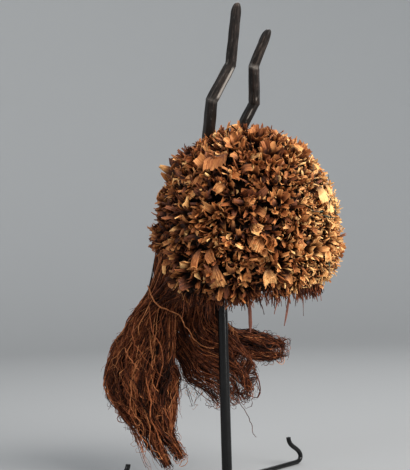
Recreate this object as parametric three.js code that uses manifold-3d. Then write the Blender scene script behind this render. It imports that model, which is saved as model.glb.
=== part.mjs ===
// Dance mask: a hood thick with curled leaves, two zigzag wooden horns and a beard of bast
// fibre, held up by a rod that stands on three bent bars.
// Millimetres, Z up. The origin is the foot of the rod, on the surface that it stands on.
// The mask faces -Y, so its own left side is at +X and the back of the head is at +Y.

import * as THREE from 'three';
import { mergeVertices } from 'three/addons/utils/BufferGeometryUtils.js';
import Module from 'manifold-3d';

const wasm = await Module();
wasm.setup();

// Play left between pieces that meet
const FIT = 0.4;

// Hood: an egg shape around a wearer's head, open below. A woven cap takes up its inner share
// and a bed of leaves the rest.
const HOOD_CENTRE = new THREE.Vector3(0, 57, 386);
const HOOD_HALF_WIDTH = 118;
const HOOD_HALF_LENGTH = 135;
const CROWN_RISE = 147;
const CHEEK_DROP = 101;
const CHEEK_ROUNDNESS = 3;
const RIM_REACH = 0.75;
const RIM_TILT = 9;
const HOLLOW_REACH = 0.75;
const HOLLOW_RISE = 121;
const MOUTH_REACH = 0.685;
const CAP_SHARE = 0.967;
const HOLLOW_STEPS = 4;
const HOOD_SEGMENTS = 18;
const PROFILE_STEPS = 9;

// Leaf whorls: open cups of five pointed leaves, rooted in the bed of leaves
const WHORL_SPACING = 59;
const WHORL_ROW_SPACING = 48;
const WHORL_REACH = 30;
const WHORL_HEIGHT = 22;
const RIM_WHORL_HEIGHT = 15;
const NOTCH_REACH = 0.66;
const NOTCH_HEIGHT = 0.6;
const LEAVES_PER_WHORL = 5;
const WHORL_ROOT_DEPTH = 8;
const LEAST_WHORL_REACH = 8;

// Horns: half their distance apart, distance back and height, from root to tip
const HORN_RADIUS = 9.5;
const HORN_TIP_RADIUS = 7;
const HORN_SIDES = 8;
const HORN_ROOT = [31, 4, 512];
const HORN_FIRST_BEND = [47, 36, 588];
const HORN_SECOND_BEND = [25.5, 57, 641];
const LEFT_HORN_TIP = [45, 92, 727];
const RIGHT_HORN_TIP = [38, 79, 697];
const HORN_BEND_LENGTH = 10;
const HORN_FLAT = new THREE.Vector3(0, -1, 0.3);

// Stand: a round rod and three thinner bars, bent up at their ends
const ROD_RADIUS = 8;
const ROD_TOP = 512;
const ROD_SIDES = 24;
const FOOT_RADIUS = 3.8;
const FOOT_SIDES = 8;
const FOOT_DIRECTIONS = [66, 186, 342];
const FOOT_FLAT_END = 184;
const FOOT_OUTERMOST = 199;
const FOOT_TIP_DISTANCE = 166;
const FOOT_TIP_HEIGHT = 48;

// Colours as they show on the object
const LEAF_COLOUR = 0x7a4a26;
const CAP_COLOUR = 0x3a2416;
const FIBRE_COLOUR = 0x5e2a17;
const HORN_COLOUR = 0x1d1613;
const IRON_COLOUR = 0x1b1a1a;
const STRIP_COLOUR = 0x5a2c1c;

// The beard is easiest to describe across and along the mask's own diagonal: `across` runs
// from front left to back right, and `deep` from back left to front right.
const ACROSS = new THREE.Vector3(-Math.SQRT1_2, Math.SQRT1_2, 0);
const DEEP = new THREE.Vector3(-Math.SQRT1_2, -Math.SQRT1_2, 0);

// Each hank of the beard: centre across, centre deep, height, half width and half depth,
// from the root in the hood's rim to the end. `locks` says where each lock lies over the
// width, from -1 to 1, over the depth, from -1 to 1, and how far it runs, from 0 to 1.
const LONG_HANK = {
  name: 'beard_long_hank',
  rootFaces: 296,
  line: [
    [-60, 12, 332, 15, 8],
    [-66, 14, 306, 17, 10],
    [-93, 20, 276, 32, 20],
    [-112, 30, 248, 44, 27],
    [-125, 38, 220, 50, 30],
    [-134, 44, 190, 55, 32],
    [-133, 48, 160, 59, 33],
    [-126, 49, 128, 53, 30],
    [-121, 47, 98, 41, 25],
    [-114, 44, 66, 29, 18],
    [-94, 40, 26, 26, 12],
  ],
  locks: [
    [-0.66, -0.1, 0.86],
    [-0.2, -0.42, 1],
    [-0.1, 0.5, 0.93],
    [0.36, -0.34, 0.94],
    [0.68, 0.2, 1],
  ],
};
const MIDDLE_HANK = {
  name: 'beard_middle_hank',
  rootFaces: 264,
  line: [
    [-36, 45, 330, 19, 8],
    [-36, 47, 304, 21, 9],
    [-36, 54, 274, 30, 14],
    [-34, 60, 245, 42, 21],
    [-27, 64, 215, 50, 25],
    [-15, 67, 185, 56, 27],
    [-4, 69, 158, 58, 26],
    [2, 70, 122, 40, 18],
  ],
  locks: [
    [-0.64, 0, 0.88],
    [-0.16, -0.36, 1],
    [0.16, 0.4, 0.96],
    [0.66, -0.05, 0.86],
  ],
};
const SIDE_HANK = {
  name: 'beard_side_hank',
  rootFaces: 233,
  line: [
    [8, 66, 330, 12, 8],
    [8, 69, 304, 13, 9],
    [8, 84, 272, 16, 12],
    [11, 96, 244, 20, 14],
    [24, 102, 220, 25, 17],
    [46, 104, 206, 27, 18],
    [72, 104, 202, 27, 17],
    [102, 102, 201, 20, 12],
  ],
  locks: [
    [-0.5, -0.25, 1],
    [0.1, 0.5, 0.9],
    [0.55, -0.2, 0.95],
  ],
};
const HANKS = [LONG_HANK, MIDDLE_HANK, SIDE_HANK];
const FREE_FACES = 225;
const PLUG_END = 2;
const PLUG_SIDES = 10;
const LOCK_SIDES = 6;
const LOCK_STATIONS = 7;
const LOCK_SHARE = 0.44;

// Two strips that hang from the rim: across, deep and height at the top and at the end, and
// the half width at both
const STRIPS = [
  { name: 'tie_strip_back', top: [35, -128, 309], end: [38, -128, 243], halfWidth: [3.4, 2.2] },
  { name: 'tie_strip_side', top: [98, -115.7, 314], end: [88, -115.7, 250], halfWidth: [2, 1.4] },
];
const STRIP_HALF_THICKNESS = 0.8;
const STRIP_STATIONS = 6;
const STRIP_BOW = 1.5;

// A repeatable sequence of numbers between 0 and 1
function sequence(seed) {
  let state = seed;
  return () => {
    state = (state + 0x6d2b79f5) | 0;
    let mixed = Math.imul(state ^ (state >>> 15), 1 | state);
    mixed = (mixed + Math.imul(mixed ^ (mixed >>> 7), 61 | mixed)) ^ mixed;
    return ((mixed ^ (mixed >>> 14)) >>> 0) / 4294967296;
  };
}

function finish(colour, roughness, metalness) {
  return new THREE.MeshStandardMaterial({ color: colour, roughness, metalness });
}

// A closed solid, ready to be joined or cut, from a geometry whose faces close on themselves
function solidOf(geometry) {
  const bare = geometry.clone();
  bare.deleteAttribute('normal');
  bare.deleteAttribute('uv');
  const merged = mergeVertices(bare, 1e-4);
  const corners = [];
  for (let i = 0; i < merged.index.count; i += 3) {
    const a = merged.index.getX(i);
    const b = merged.index.getX(i + 1);
    const c = merged.index.getX(i + 2);
    if (a !== b && b !== c && c !== a) {
      corners.push(a, b, c);
    }
  }
  return new wasm.Manifold(new wasm.Mesh({
    numProp: 3,
    vertProperties: new Float32Array(merged.attributes.position.array),
    triVerts: new Uint32Array(corners),
  }));
}

function geometryOf(solid) {
  const mesh = solid.getMesh();
  const geometry = new THREE.BufferGeometry();
  const places = [];
  for (let i = 0; i < mesh.vertProperties.length; i += mesh.numProp) {
    places.push(mesh.vertProperties[i], mesh.vertProperties[i + 1], mesh.vertProperties[i + 2]);
  }
  geometry.setAttribute('position', new THREE.Float32BufferAttribute(places, 3));
  geometry.setIndex([...mesh.triVerts]);
  return geometry;
}

function joined(solids) {
  return solids.reduce((whole, solid) => whole.add(solid));
}

// The largest of a solid's separate bodies, without the crumbs that a cut leaves beside it
function largestBody(solid) {
  return solid.decompose().reduce((largest, body) => (
    body.volume() > largest.volume() ? body : largest
  ));
}

// A closed skin over rings of points, each ring with the same count, closed by a flat or
// pointed fan at both ends
function skinOver(rings) {
  const sides = rings[0].length;
  const places = rings.flat();
  const faces = [];
  for (let ring = 0; ring < rings.length - 1; ring += 1) {
    for (let side = 0; side < sides; side += 1) {
      const a = ring * sides + side;
      const b = ring * sides + ((side + 1) % sides);
      faces.push(a, b, b + sides);
      faces.push(a, b + sides, a + sides);
    }
  }
  const last = (rings.length - 1) * sides;
  for (let side = 1; side < sides - 1; side += 1) {
    faces.push(0, side + 1, side);
    faces.push(last, last + side, last + side + 1);
  }
  const geometry = new THREE.BufferGeometry().setFromPoints(places);
  geometry.setIndex(faces);
  return geometry;
}

// A section carried along a line of points. The section is an oval of `sides` corners. Its
// second half axis leans the way that `deepWays` says at each point, as near as it can square
// to the line, and its first lies square to both.
function swept(points, halfAxes, sides, deepWays, turn = 0) {
  const rings = points.map((point, i) => {
    const before = points[Math.max(i - 1, 0)];
    const after = points[Math.min(i + 1, points.length - 1)];
    const along = after.clone().sub(before).normalize();
    const deepWay = deepWays[i] ?? deepWays[0];
    const deep = deepWay.clone().addScaledVector(along, -deepWay.dot(along)).normalize();
    const wide = deep.clone().cross(along);
    return Array.from({ length: sides }, (_, side) => {
      const angle = turn + (side / sides) * 2 * Math.PI;
      return point.clone()
        .addScaledVector(wide, halfAxes[i][0] * Math.cos(angle))
        .addScaledVector(deep, halfAxes[i][1] * Math.sin(angle));
    });
  });
  return skinOver(rings);
}

// The hood's profile from the crown to the rim: reach from the axis, as a share of the half
// width, and height above the widest place. The upper half is a quarter ellipse and the lower
// half a superellipse, so the cheeks stay full before they turn under.
function hoodProfile(steps) {
  const rimAngle = Math.asin(RIM_REACH ** (CHEEK_ROUNDNESS / 2));
  const whole = Math.PI - rimAngle;
  return Array.from({ length: steps + 1 }, (_, i) => {
    const angle = (i / steps) * whole;
    if (angle <= Math.PI / 2) {
      return new THREE.Vector2(Math.sin(angle), CROWN_RISE * Math.cos(angle));
    }
    const power = 2 / CHEEK_ROUNDNESS;
    const reach = Math.sin(angle) ** power;
    return new THREE.Vector2(reach, -CHEEK_DROP * Math.abs(Math.cos(angle)) ** power);
  });
}

// A place on the hood from its profile point and the angle around it. Below the widest place
// the hood hangs a little lower at the front left than at the back right, more so the further
// out.
function onHood(profilePoint, angle) {
  const across = Math.cos(angle) * ACROSS.x + Math.sin(angle) * ACROSS.y;
  const hang = (Math.max(0, -profilePoint.y) / CHEEK_DROP) * (profilePoint.x / RIM_REACH);
  return new THREE.Vector3(
    HOOD_CENTRE.x + HOOD_HALF_WIDTH * profilePoint.x * Math.cos(angle),
    HOOD_CENTRE.y + HOOD_HALF_LENGTH * profilePoint.x * Math.sin(angle),
    HOOD_CENTRE.z + profilePoint.y + RIM_TILT * hang * across,
  );
}

// A closed form turned about the hood's axis, and stretched to its width and length, from a
// profile that runs from the axis above to the axis below
function turned(profile) {
  const places = [];
  const faces = [];
  for (const profilePoint of profile) {
    for (let segment = 0; segment < HOOD_SEGMENTS; segment += 1) {
      const angle = (segment / HOOD_SEGMENTS) * 2 * Math.PI;
      places.push(onHood(profilePoint, angle));
    }
  }
  for (let row = 0; row < profile.length - 1; row += 1) {
    for (let segment = 0; segment < HOOD_SEGMENTS; segment += 1) {
      const a = row * HOOD_SEGMENTS + segment;
      const b = row * HOOD_SEGMENTS + ((segment + 1) % HOOD_SEGMENTS);
      faces.push(a, b + HOOD_SEGMENTS, b);
      faces.push(a, a + HOOD_SEGMENTS, b + HOOD_SEGMENTS);
    }
  }
  const geometry = new THREE.BufferGeometry().setFromPoints(places);
  geometry.setIndex(faces);
  return geometry;
}

// The bare hood, drawn in to a share of its reach and rise, and closed straight across at
// `below` under the rim
function hoodForm(share, below) {
  const profile = hoodProfile(PROFILE_STEPS).map((point) => (
    new THREE.Vector2(point.x * share, point.y > 0 ? point.y * share : point.y)
  ));
  const rim = profile[PROFILE_STEPS];
  profile[0].x = 0;
  if (below > 0) {
    profile.push(new THREE.Vector2(rim.x, rim.y - below));
  }
  profile.push(new THREE.Vector2(0, rim.y - below));
  return turned(profile);
}

// The space for the head, which runs out below past the leaves that curl under the rim
function headHollow() {
  const rim = hoodProfile(PROFILE_STEPS).pop();
  const profile = [];
  for (let i = 0; i <= HOLLOW_STEPS; i += 1) {
    const angle = (i / HOLLOW_STEPS) * (Math.PI / 2);
    profile.push(new THREE.Vector2(HOLLOW_REACH * Math.sin(angle), HOLLOW_RISE * Math.cos(angle)));
  }
  profile.push(new THREE.Vector2(HOLLOW_REACH, rim.y * 0.45));
  profile.push(new THREE.Vector2(MOUTH_REACH, rim.y));
  profile.push(new THREE.Vector2(MOUTH_REACH, rim.y - WHORL_REACH));
  profile.push(new THREE.Vector2(0, rim.y - WHORL_REACH));
  return turned(profile);
}

// One whorl of leaves standing on `foot`, open towards `up`: a star-shaped cup whose points
// are the leaf tips and whose middle is sunk
function whorl(foot, up, reach, height, turn, random) {
  const side = new THREE.Vector3(0, 0, 1).cross(up);
  if (side.lengthSq() < 0.01) {
    side.set(1, 0, 0);
  }
  side.normalize();
  const other = up.clone().cross(side);
  const at = (angle, distance, rise) => foot.clone()
    .addScaledVector(side, distance * Math.cos(angle))
    .addScaledVector(other, distance * Math.sin(angle))
    .addScaledVector(up, rise);
  const step = (2 * Math.PI) / LEAVES_PER_WHORL;
  const places = [];
  for (let leaf = 0; leaf < LEAVES_PER_WHORL; leaf += 1) {
    places.push(at(turn + (leaf + 0.5) * step, reach * 0.4, -WHORL_ROOT_DEPTH));
  }
  for (let leaf = 0; leaf < LEAVES_PER_WHORL; leaf += 1) {
    const lift = 0.75 + 0.35 * random();
    const spread = 0.85 + 0.25 * random();
    places.push(at(turn + leaf * step, reach * spread, height * lift));
    places.push(at(turn + (leaf + 0.5) * step, reach * NOTCH_REACH, height * NOTCH_HEIGHT));
  }
  places.push(at(0, 0, height * 0.15));
  const rim = LEAVES_PER_WHORL;
  const middle = places.length - 1;
  const faces = [];
  for (let leaf = 0; leaf < LEAVES_PER_WHORL; leaf += 1) {
    const next = (leaf + 1) % LEAVES_PER_WHORL;
    const tip = rim + 2 * leaf;
    const notch = tip + 1;
    const nextTip = rim + 2 * next;
    faces.push(middle, tip, notch);
    faces.push(middle, notch, nextTip);
    faces.push(tip, leaf, notch);
    faces.push(notch, leaf, nextTip);
    faces.push(leaf, next, nextTip);
  }
  for (let leaf = 1; leaf < LEAVES_PER_WHORL - 1; leaf += 1) {
    faces.push(0, leaf + 1, leaf);
  }
  const geometry = new THREE.BufferGeometry().setFromPoints(places);
  geometry.setIndex(faces);
  return geometry;
}

// Whorls in staggered rows from the crown to the underside of the rim. Each is as wide as the
// space beside the horns and the beard's roots lets it be.
function leafWhorls(clearOf) {
  const random = sequence(11);
  const profile = new THREE.SplineCurve(hoodProfile(40).map(
    (point) => new THREE.Vector2(point.x * HOOD_HALF_LENGTH, point.y),
  ));
  const rows = Math.round(profile.getLength() / WHORL_ROW_SPACING);
  const solids = [];
  for (let row = 0; row <= rows; row += 1) {
    const place = profile.getPointAt(row / rows);
    const ahead = profile.getPointAt(Math.min(1, row / rows + 0.02));
    const behind = profile.getPointAt(Math.max(0, row / rows - 0.02));
    const girth = 2 * Math.PI * place.x * 0.94;
    const count = Math.max(1, Math.round(girth / WHORL_SPACING));
    for (let i = 0; i < count; i += 1) {
      const share = (i + 0.5 * ((row + 1) % 2) + 0.3 * (random() - 0.5)) / count;
      const angle = share * 2 * Math.PI - Math.PI / 2;
      const unit = (point) => new THREE.Vector2(point.x / HOOD_HALF_LENGTH, point.y);
      const foot = onHood(unit(place), angle);
      const down = onHood(unit(ahead), angle).sub(onHood(unit(behind), angle));
      const around = onHood(unit(place), angle + 0.05).sub(onHood(unit(place), angle - 0.05));
      if (around.lengthSq() < 0.01) {
        around.set(0, 1, 0);
      }
      const up = down.cross(around).normalize();
      const wanted = WHORL_REACH * (0.9 + 0.2 * random());
      const turn = random() * 2 * Math.PI;
      const reach = Math.min(wanted, clearOf(foot));
      const full = row < rows ? WHORL_HEIGHT : RIM_WHORL_HEIGHT;
      const height = full * (0.5 + 0.2 * random() + (0.4 * reach) / wanted);
      if (reach >= LEAST_WHORL_REACH) {
        solids.push(solidOf(whorl(foot, up, reach, height, turn, random)));
      }
    }
  }
  return solids;
}

// A horn on the mask's left (side 1) or right (side -1), with straight lengths between
// rounded bends and a blunt, narrowing tip
function hornLine(side, tip) {
  const corners = [HORN_ROOT, HORN_FIRST_BEND, HORN_SECOND_BEND, tip].map(
    ([apart, back, height]) => new THREE.Vector3(side * apart, back, height),
  );
  const path = new THREE.CurvePath();
  let from = corners[0];
  for (let i = 1; i < corners.length - 1; i += 1) {
    const into = corners[i - 1].clone().sub(corners[i]).setLength(HORN_BEND_LENGTH);
    const out = corners[i + 1].clone().sub(corners[i]).setLength(HORN_BEND_LENGTH);
    const start = corners[i].clone().add(into);
    const end = corners[i].clone().add(out);
    path.add(new THREE.LineCurve3(from, start));
    path.add(new THREE.QuadraticBezierCurve3(start, corners[i], end));
    from = end;
  }
  path.add(new THREE.LineCurve3(from, corners[corners.length - 1]));
  return path;
}

function horn(side, tip, extra) {
  const path = hornLine(side, tip);
  const points = path.getPoints(3);
  const whole = path.getLength();
  const end = points.pop();
  const near = points[points.length - 1];
  const blunt = [10, 4, 0];
  for (const short of blunt) {
    points.push(end.clone().sub(end.clone().sub(near).setLength(short)));
  }
  let run = 0;
  const axes = points.map((point, i) => {
    run += i > 0 ? point.distanceTo(points[i - 1]) : 0;
    const share = run / whole;
    const radius = THREE.MathUtils.lerp(HORN_RADIUS, HORN_TIP_RADIUS, share) + extra;
    const fromEnd = points.length - 1 - i;
    const round = [0.42, 0.8, 1][Math.min(fromEnd, 2)];
    return [radius * round, radius * round];
  });
  return swept(points, axes, HORN_SIDES, [HORN_FLAT], Math.PI / HORN_SIDES);
}

// Which way the flat of a hank faces, at a share of its length: outwards from the rim at the
// root, turning to the deep way where it hangs free
function hankFacing(hank, t) {
  const free = THREE.MathUtils.smoothstep(t, hankShare(hank, 1), hankShare(hank, 3.5));
  const angle = THREE.MathUtils.degToRad(THREE.MathUtils.lerp(hank.rootFaces, FREE_FACES, free));
  return new THREE.Vector3(Math.cos(angle), Math.sin(angle), 0);
}

// How far along a hank one of its stations lies, as a share of its length
function hankShare(hank, station) {
  return station / (hank.line.length - 1);
}

// The line of a hank as smooth curves: its middle, and its half width and half depth
function hankCurves(hank) {
  const middle = new THREE.CatmullRomCurve3(hank.line.map(([across, deep, height]) => (
    new THREE.Vector3(0, 0, height).addScaledVector(ACROSS, across).addScaledVector(DEEP, deep)
  )));
  const size = new THREE.SplineCurve(hank.line.map(([, , , wide, thick]) => (
    new THREE.Vector2(wide, thick)
  )));
  return { middle, size };
}

// The bound root of a hank, which fills its socket in the hood's rim
function hankPlug(hank, extra) {
  const { middle, size } = hankCurves(hank);
  const stations = [0, 0.5, 1].map((t) => t * hankShare(hank, PLUG_END));
  const points = stations.map((t) => middle.getPoint(t));
  if (extra > 0) {
    points[0].addScaledVector(points[0].clone().sub(points[1]).normalize(), extra);
  }
  const axes = stations.map((t) => {
    const [wide, thick] = size.getPoint(t).toArray();
    return [wide + extra * 1.1, thick + extra * 1.1];
  });
  const facing = stations.map((t) => hankFacing(hank, t));
  return swept(points, axes, PLUG_SIDES, facing);
}

// One lock: it starts in the plug, keeps to its own part of the hank's width and depth, swells
// with the hank and ends in a point
function hankLock(hank, [wideShare, deepShare, length], index) {
  const { middle, size } = hankCurves(hank);
  const start = hankShare(hank, PLUG_END - 0.35);
  const points = [];
  const axes = [];
  const facing = [];
  for (let i = 0; i <= LOCK_STATIONS; i += 1) {
    const t = start + (length - start) * (i / LOCK_STATIONS);
    const along = middle.getTangent(t);
    const deep = hankFacing(hank, t);
    const wide = deep.clone().cross(along).normalize();
    const halves = size.getPoint(t);
    const grow = Math.min(1, i / 3);
    const wave = 0.08 * Math.sin(2.2 * i + index);
    const spread = grow * (1 - LOCK_SHARE);
    const point = middle.getPoint(t)
      .addScaledVector(wide, halves.x * spread * (wideShare / 0.7 + wave))
      .addScaledVector(deep, halves.y * spread * (deepShare / 0.7));
    points.push(point);
    facing.push(deep);
    const taper = i < LOCK_STATIONS ? 1 - 0.35 * (i / LOCK_STATIONS) ** 3 : 0.12;
    const bulge = 1 + 0.14 * Math.sin(1.7 * i + 2 * index);
    const share = THREE.MathUtils.lerp(0.72, LOCK_SHARE, grow) * taper * bulge;
    axes.push([halves.x * share, Math.min(halves.x, halves.y * 1.25) * share]);
  }
  return swept(points, axes, LOCK_SIDES, facing, index);
}

function hankSolid(hank) {
  const locks = hank.locks.map((lock, index) => solidOf(hankLock(hank, lock, index)));
  return joined([solidOf(hankPlug(hank, 0)), ...locks]);
}

// How wide a whorl may be at a place on the hood without reaching the horns or the hanks
function clearances() {
  const lines = [];
  for (const [side, tip] of [[1, LEFT_HORN_TIP], [-1, RIGHT_HORN_TIP]]) {
    const path = hornLine(side, tip);
    for (let i = 0; i <= 12; i += 1) {
      lines.push({ at: path.getPointAt(i / 24), keep: HORN_RADIUS + 1 });
    }
  }
  for (const hank of HANKS) {
    const { middle, size } = hankCurves(hank);
    for (let i = 0; i <= 4; i += 1) {
      const t = hankShare(hank, 1 + i / 4);
      const halves = size.getPoint(t);
      const wide = hankFacing(hank, t).cross(middle.getTangent(t)).normalize();
      for (const offset of [-0.6, 0, 0.6]) {
        const at = middle.getPoint(t).addScaledVector(wide, halves.x * offset);
        lines.push({ at, keep: halves.y });
      }
    }
  }
  for (const each of STRIPS) {
    lines.push({ at: stripLine(each)[1], keep: 2 });
  }
  return (place) => Math.min(...lines.map(({ at, keep }) => at.distanceTo(place) - keep));
}

// The hood's material without the seats of all that is set into it
function withSeats(whole) {
  let cut = whole.subtract(solidOf(horn(1, LEFT_HORN_TIP, FIT)));
  cut = cut.subtract(solidOf(horn(-1, RIGHT_HORN_TIP, FIT)));
  for (const hank of HANKS) {
    cut = cut.subtract(solidOf(hankPlug(hank, FIT)));
  }
  for (const each of STRIPS) {
    cut = cut.subtract(solidOf(strip(each, FIT)));
  }
  return largestBody(cut.subtract(solidOf(rod(FIT))));
}

function cap() {
  return withSeats(solidOf(hoodForm(CAP_SHARE, 0)).subtract(solidOf(headHollow())));
}

// All the leaves, in one bed that lies over the cap
function leafTufts() {
  const clearOfCap = CAP_SHARE + FIT / HOOD_HALF_WIDTH;
  const whole = joined([solidOf(hoodForm(1, 0)), ...leafWhorls(clearances())]);
  return withSeats(whole.subtract(solidOf(hoodForm(clearOfCap, WHORL_REACH))));
}

// The rod, from the ground to its seat in the crown
function rod(extra) {
  const shape = new THREE.CylinderGeometry(
    ROD_RADIUS + extra,
    ROD_RADIUS + extra,
    ROD_TOP + extra,
    ROD_SIDES,
  );
  shape.rotateX(Math.PI / 2);
  shape.translate(0, 0, (ROD_TOP + extra) / 2);
  return shape;
}

// A foot: straight along the ground away from the rod, then hooked up and back towards it
function footBar() {
  const at = (distance, height) => new THREE.Vector3(distance, 0, height);
  const path = new THREE.CurvePath();
  const flatEnd = at(FOOT_FLAT_END, FOOT_RADIUS);
  const hookTop = at(FOOT_OUTERMOST - 9, FOOT_TIP_HEIGHT * 0.5);
  const tip = at(FOOT_TIP_DISTANCE, FOOT_TIP_HEIGHT);
  path.add(new THREE.LineCurve3(at(ROD_RADIUS + FIT, FOOT_RADIUS), flatEnd));
  path.add(new THREE.CubicBezierCurve3(
    flatEnd,
    at(FOOT_OUTERMOST + 4, FOOT_RADIUS),
    at(FOOT_OUTERMOST + 4, FOOT_TIP_HEIGHT * 0.32),
    hookTop,
  ));
  path.add(new THREE.CubicBezierCurve3(
    hookTop,
    at(FOOT_OUTERMOST - 20, FOOT_TIP_HEIGHT * 0.66),
    at(FOOT_TIP_DISTANCE + 1, FOOT_TIP_HEIGHT * 0.72),
    tip,
  ));
  const points = path.getPoints(3);
  const corner = FOOT_RADIUS / Math.cos(Math.PI / FOOT_SIDES);
  const axes = points.map(() => [corner, corner]);
  return swept(points, axes, FOOT_SIDES, [new THREE.Vector3(0, 1, 0)], Math.PI / FOOT_SIDES);
}

// The line of a strip of hide from the rim, slightly bowed
function stripLine({ top, end }) {
  const place = ([across, deep, height]) => new THREE.Vector3(0, 0, height)
    .addScaledVector(ACROSS, across)
    .addScaledVector(DEEP, deep);
  const from = place(top);
  const to = place(end);
  return Array.from({ length: STRIP_STATIONS }, (_, i) => {
    const t = i / (STRIP_STATIONS - 1);
    const bow = STRIP_BOW * Math.sin(Math.PI * t);
    return from.clone().lerp(to, t).addScaledVector(ACROSS, bow);
  });
}

function strip(shape, extra) {
  const corner = Math.SQRT2;
  const axes = Array.from({ length: STRIP_STATIONS }, (_, i) => {
    const half = THREE.MathUtils.lerp(...shape.halfWidth, i / (STRIP_STATIONS - 1));
    return [(half + extra) * corner, (STRIP_HALF_THICKNESS + extra) * corner];
  });
  const points = stripLine(shape);
  points[0].z += extra;
  return swept(points, axes, 4, [DEEP], Math.PI / 4);
}

function piece(name, geometry, material) {
  const mesh = new THREE.Mesh(geometry, material);
  mesh.name = name;
  return mesh;
}

const group = new THREE.Group();

group.add(piece('cap', geometryOf(cap()), finish(CAP_COLOUR, 0.85, 0)));
group.add(piece('leaf_tufts', geometryOf(leafTufts()), finish(LEAF_COLOUR, 0.75, 0)));
group.add(piece('horn_left', horn(1, LEFT_HORN_TIP, 0), finish(HORN_COLOUR, 0.45, 0)));
group.add(piece('horn_right', horn(-1, RIGHT_HORN_TIP, 0), finish(HORN_COLOUR, 0.45, 0)));

for (const hank of HANKS) {
  group.add(piece(hank.name, geometryOf(hankSolid(hank)), finish(FIBRE_COLOUR, 0.8, 0)));
}

for (const each of STRIPS) {
  group.add(piece(each.name, strip(each, 0), finish(STRIP_COLOUR, 0.7, 0)));
}

const stand = new THREE.Group();
stand.add(piece('stand_rod', rod(0), finish(IRON_COLOUR, 0.5, 0.8)));
FOOT_DIRECTIONS.forEach((direction, i) => {
  const foot = piece(`stand_foot_${i + 1}`, footBar(), finish(IRON_COLOUR, 0.5, 0.8));
  foot.rotation.z = THREE.MathUtils.degToRad(direction);
  stand.add(foot);
});
group.add(stand);

export default group;
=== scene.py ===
# %% [markdown]
# Dressing a dance mask, step by step.
#
# The real object is a hood that a dancer pulls over the whole head. Its cap is woven, and hundreds
# of dry leaves are tied to it in small tufts. Two zigzag horns of blackened wood stand on the
# crown, and a beard of raw bast fibre hangs from the rim. For display it sits on an iron rod.
#
# The construction is already made and packed: it is loaded here as a fixed frame, in metres, with
# +Z up and the foot of the rod at the origin. This script never moves it. It makes the surfaces
# that one sees, in the places that the frame gives.

# %% Load the frame
import math

import bpy
import numpy as np
from mathutils import Matrix, Vector


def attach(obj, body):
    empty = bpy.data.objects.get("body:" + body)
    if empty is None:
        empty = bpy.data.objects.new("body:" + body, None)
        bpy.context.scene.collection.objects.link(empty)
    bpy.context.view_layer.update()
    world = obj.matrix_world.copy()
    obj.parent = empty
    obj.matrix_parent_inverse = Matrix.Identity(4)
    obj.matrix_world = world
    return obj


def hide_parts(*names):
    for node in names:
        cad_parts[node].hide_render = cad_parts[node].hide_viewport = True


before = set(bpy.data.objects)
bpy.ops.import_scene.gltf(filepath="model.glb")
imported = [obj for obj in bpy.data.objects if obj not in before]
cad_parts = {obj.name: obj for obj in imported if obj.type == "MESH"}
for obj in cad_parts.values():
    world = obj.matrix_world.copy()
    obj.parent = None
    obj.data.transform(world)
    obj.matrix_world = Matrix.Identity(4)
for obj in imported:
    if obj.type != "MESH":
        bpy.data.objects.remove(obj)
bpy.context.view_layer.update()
print("frame nodes:", ", ".join(sorted(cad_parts)))

# %% [markdown]
# The mask faces -Y, but it is looked at from behind its own left shoulder. Two directions make
# that view easy to describe: ACROSS runs from left to right over the picture, and DEEP runs
# straight away from the eye. Places in the beard are given as across, deep and height.

# %% Directions and small vector helpers
HALF_ROOT = math.sqrt(0.5)
ACROSS = np.array([-HALF_ROOT, HALF_ROOT, 0.0])
DEEP = np.array([-HALF_ROOT, -HALF_ROOT, 0.0])
UP = np.array([0.0, 0.0, 1.0])
MM = 0.001


def at(across, deep, height):
    """A place from millimetres across, deep and up: across * ACROSS + deep * DEEP + height * UP."""
    across, deep, height = (np.asarray(v, float)[..., None] for v in (across, deep, height))
    return (across * ACROSS + deep * DEEP + height * UP) * MM


def unit(vectors):
    """Each vector divided by its own length."""
    return vectors / np.maximum(np.linalg.norm(vectors, axis=-1, keepdims=True), 1e-12)


def ease(low, high, value):
    """A smooth step: 0 up to ``low``, 1 from ``high``, and 3t^2 - 2t^3 between them."""
    t = np.clip((value - low) / (high - low), 0, 1)
    return t * t * (3 - 2 * t)


def blend(start, end, share):
    """start * (1 - share) + end * share."""
    return start * (1 - share) + end * share


print("across", ACROSS.round(3), "deep", DEEP.round(3))

# %% [markdown]
# The camera comes first, because every choice of detail depends on how near it stands. It is level
# with the middle of the hood and about two metres away. A long lens keeps the horns from leaning.
# The picture was taken with the camera turned a degree and a half about its own line of sight.

# %% Camera
CAMERA_DISTANCE = 1.95
CAMERA_HEIGHT = 0.386
CAMERA_SHIFTED_LEFT = 0.0236
CAMERA_ROLL = math.radians(-1.65)
LENS = 96.4
SENSOR_WIDTH = 36

camera = bpy.data.objects.new("camera", bpy.data.cameras.new("camera"))
bpy.context.scene.collection.objects.link(camera)
camera.data.lens = LENS
camera.data.sensor_width = SENSOR_WIDTH
camera_place = -CAMERA_DISTANCE * DEEP - CAMERA_SHIFTED_LEFT * ACROSS + CAMERA_HEIGHT * UP
camera_axes = Matrix(np.column_stack([ACROSS, UP, -DEEP]).tolist()).to_4x4()
camera.matrix_world = (
    Matrix.Translation(camera_place) @ camera_axes @ Matrix.Rotation(CAMERA_ROLL, 4, "Z")
)
bpy.context.scene.camera = camera
print("camera at", camera_place.round(3), "with a lens of", LENS, "mm")

# %% [markdown]
# A surface here is a function of two parameters, worked out for all its points at once with numpy.
# Nearly every form in this lesson is a skin over rings of points: a leaf, a fibre, a horn and an
# iron bar differ only in their rings. One function therefore closes any number of such bodies at
# once, ends included. A second one covers what is turned round an axis.


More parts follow.
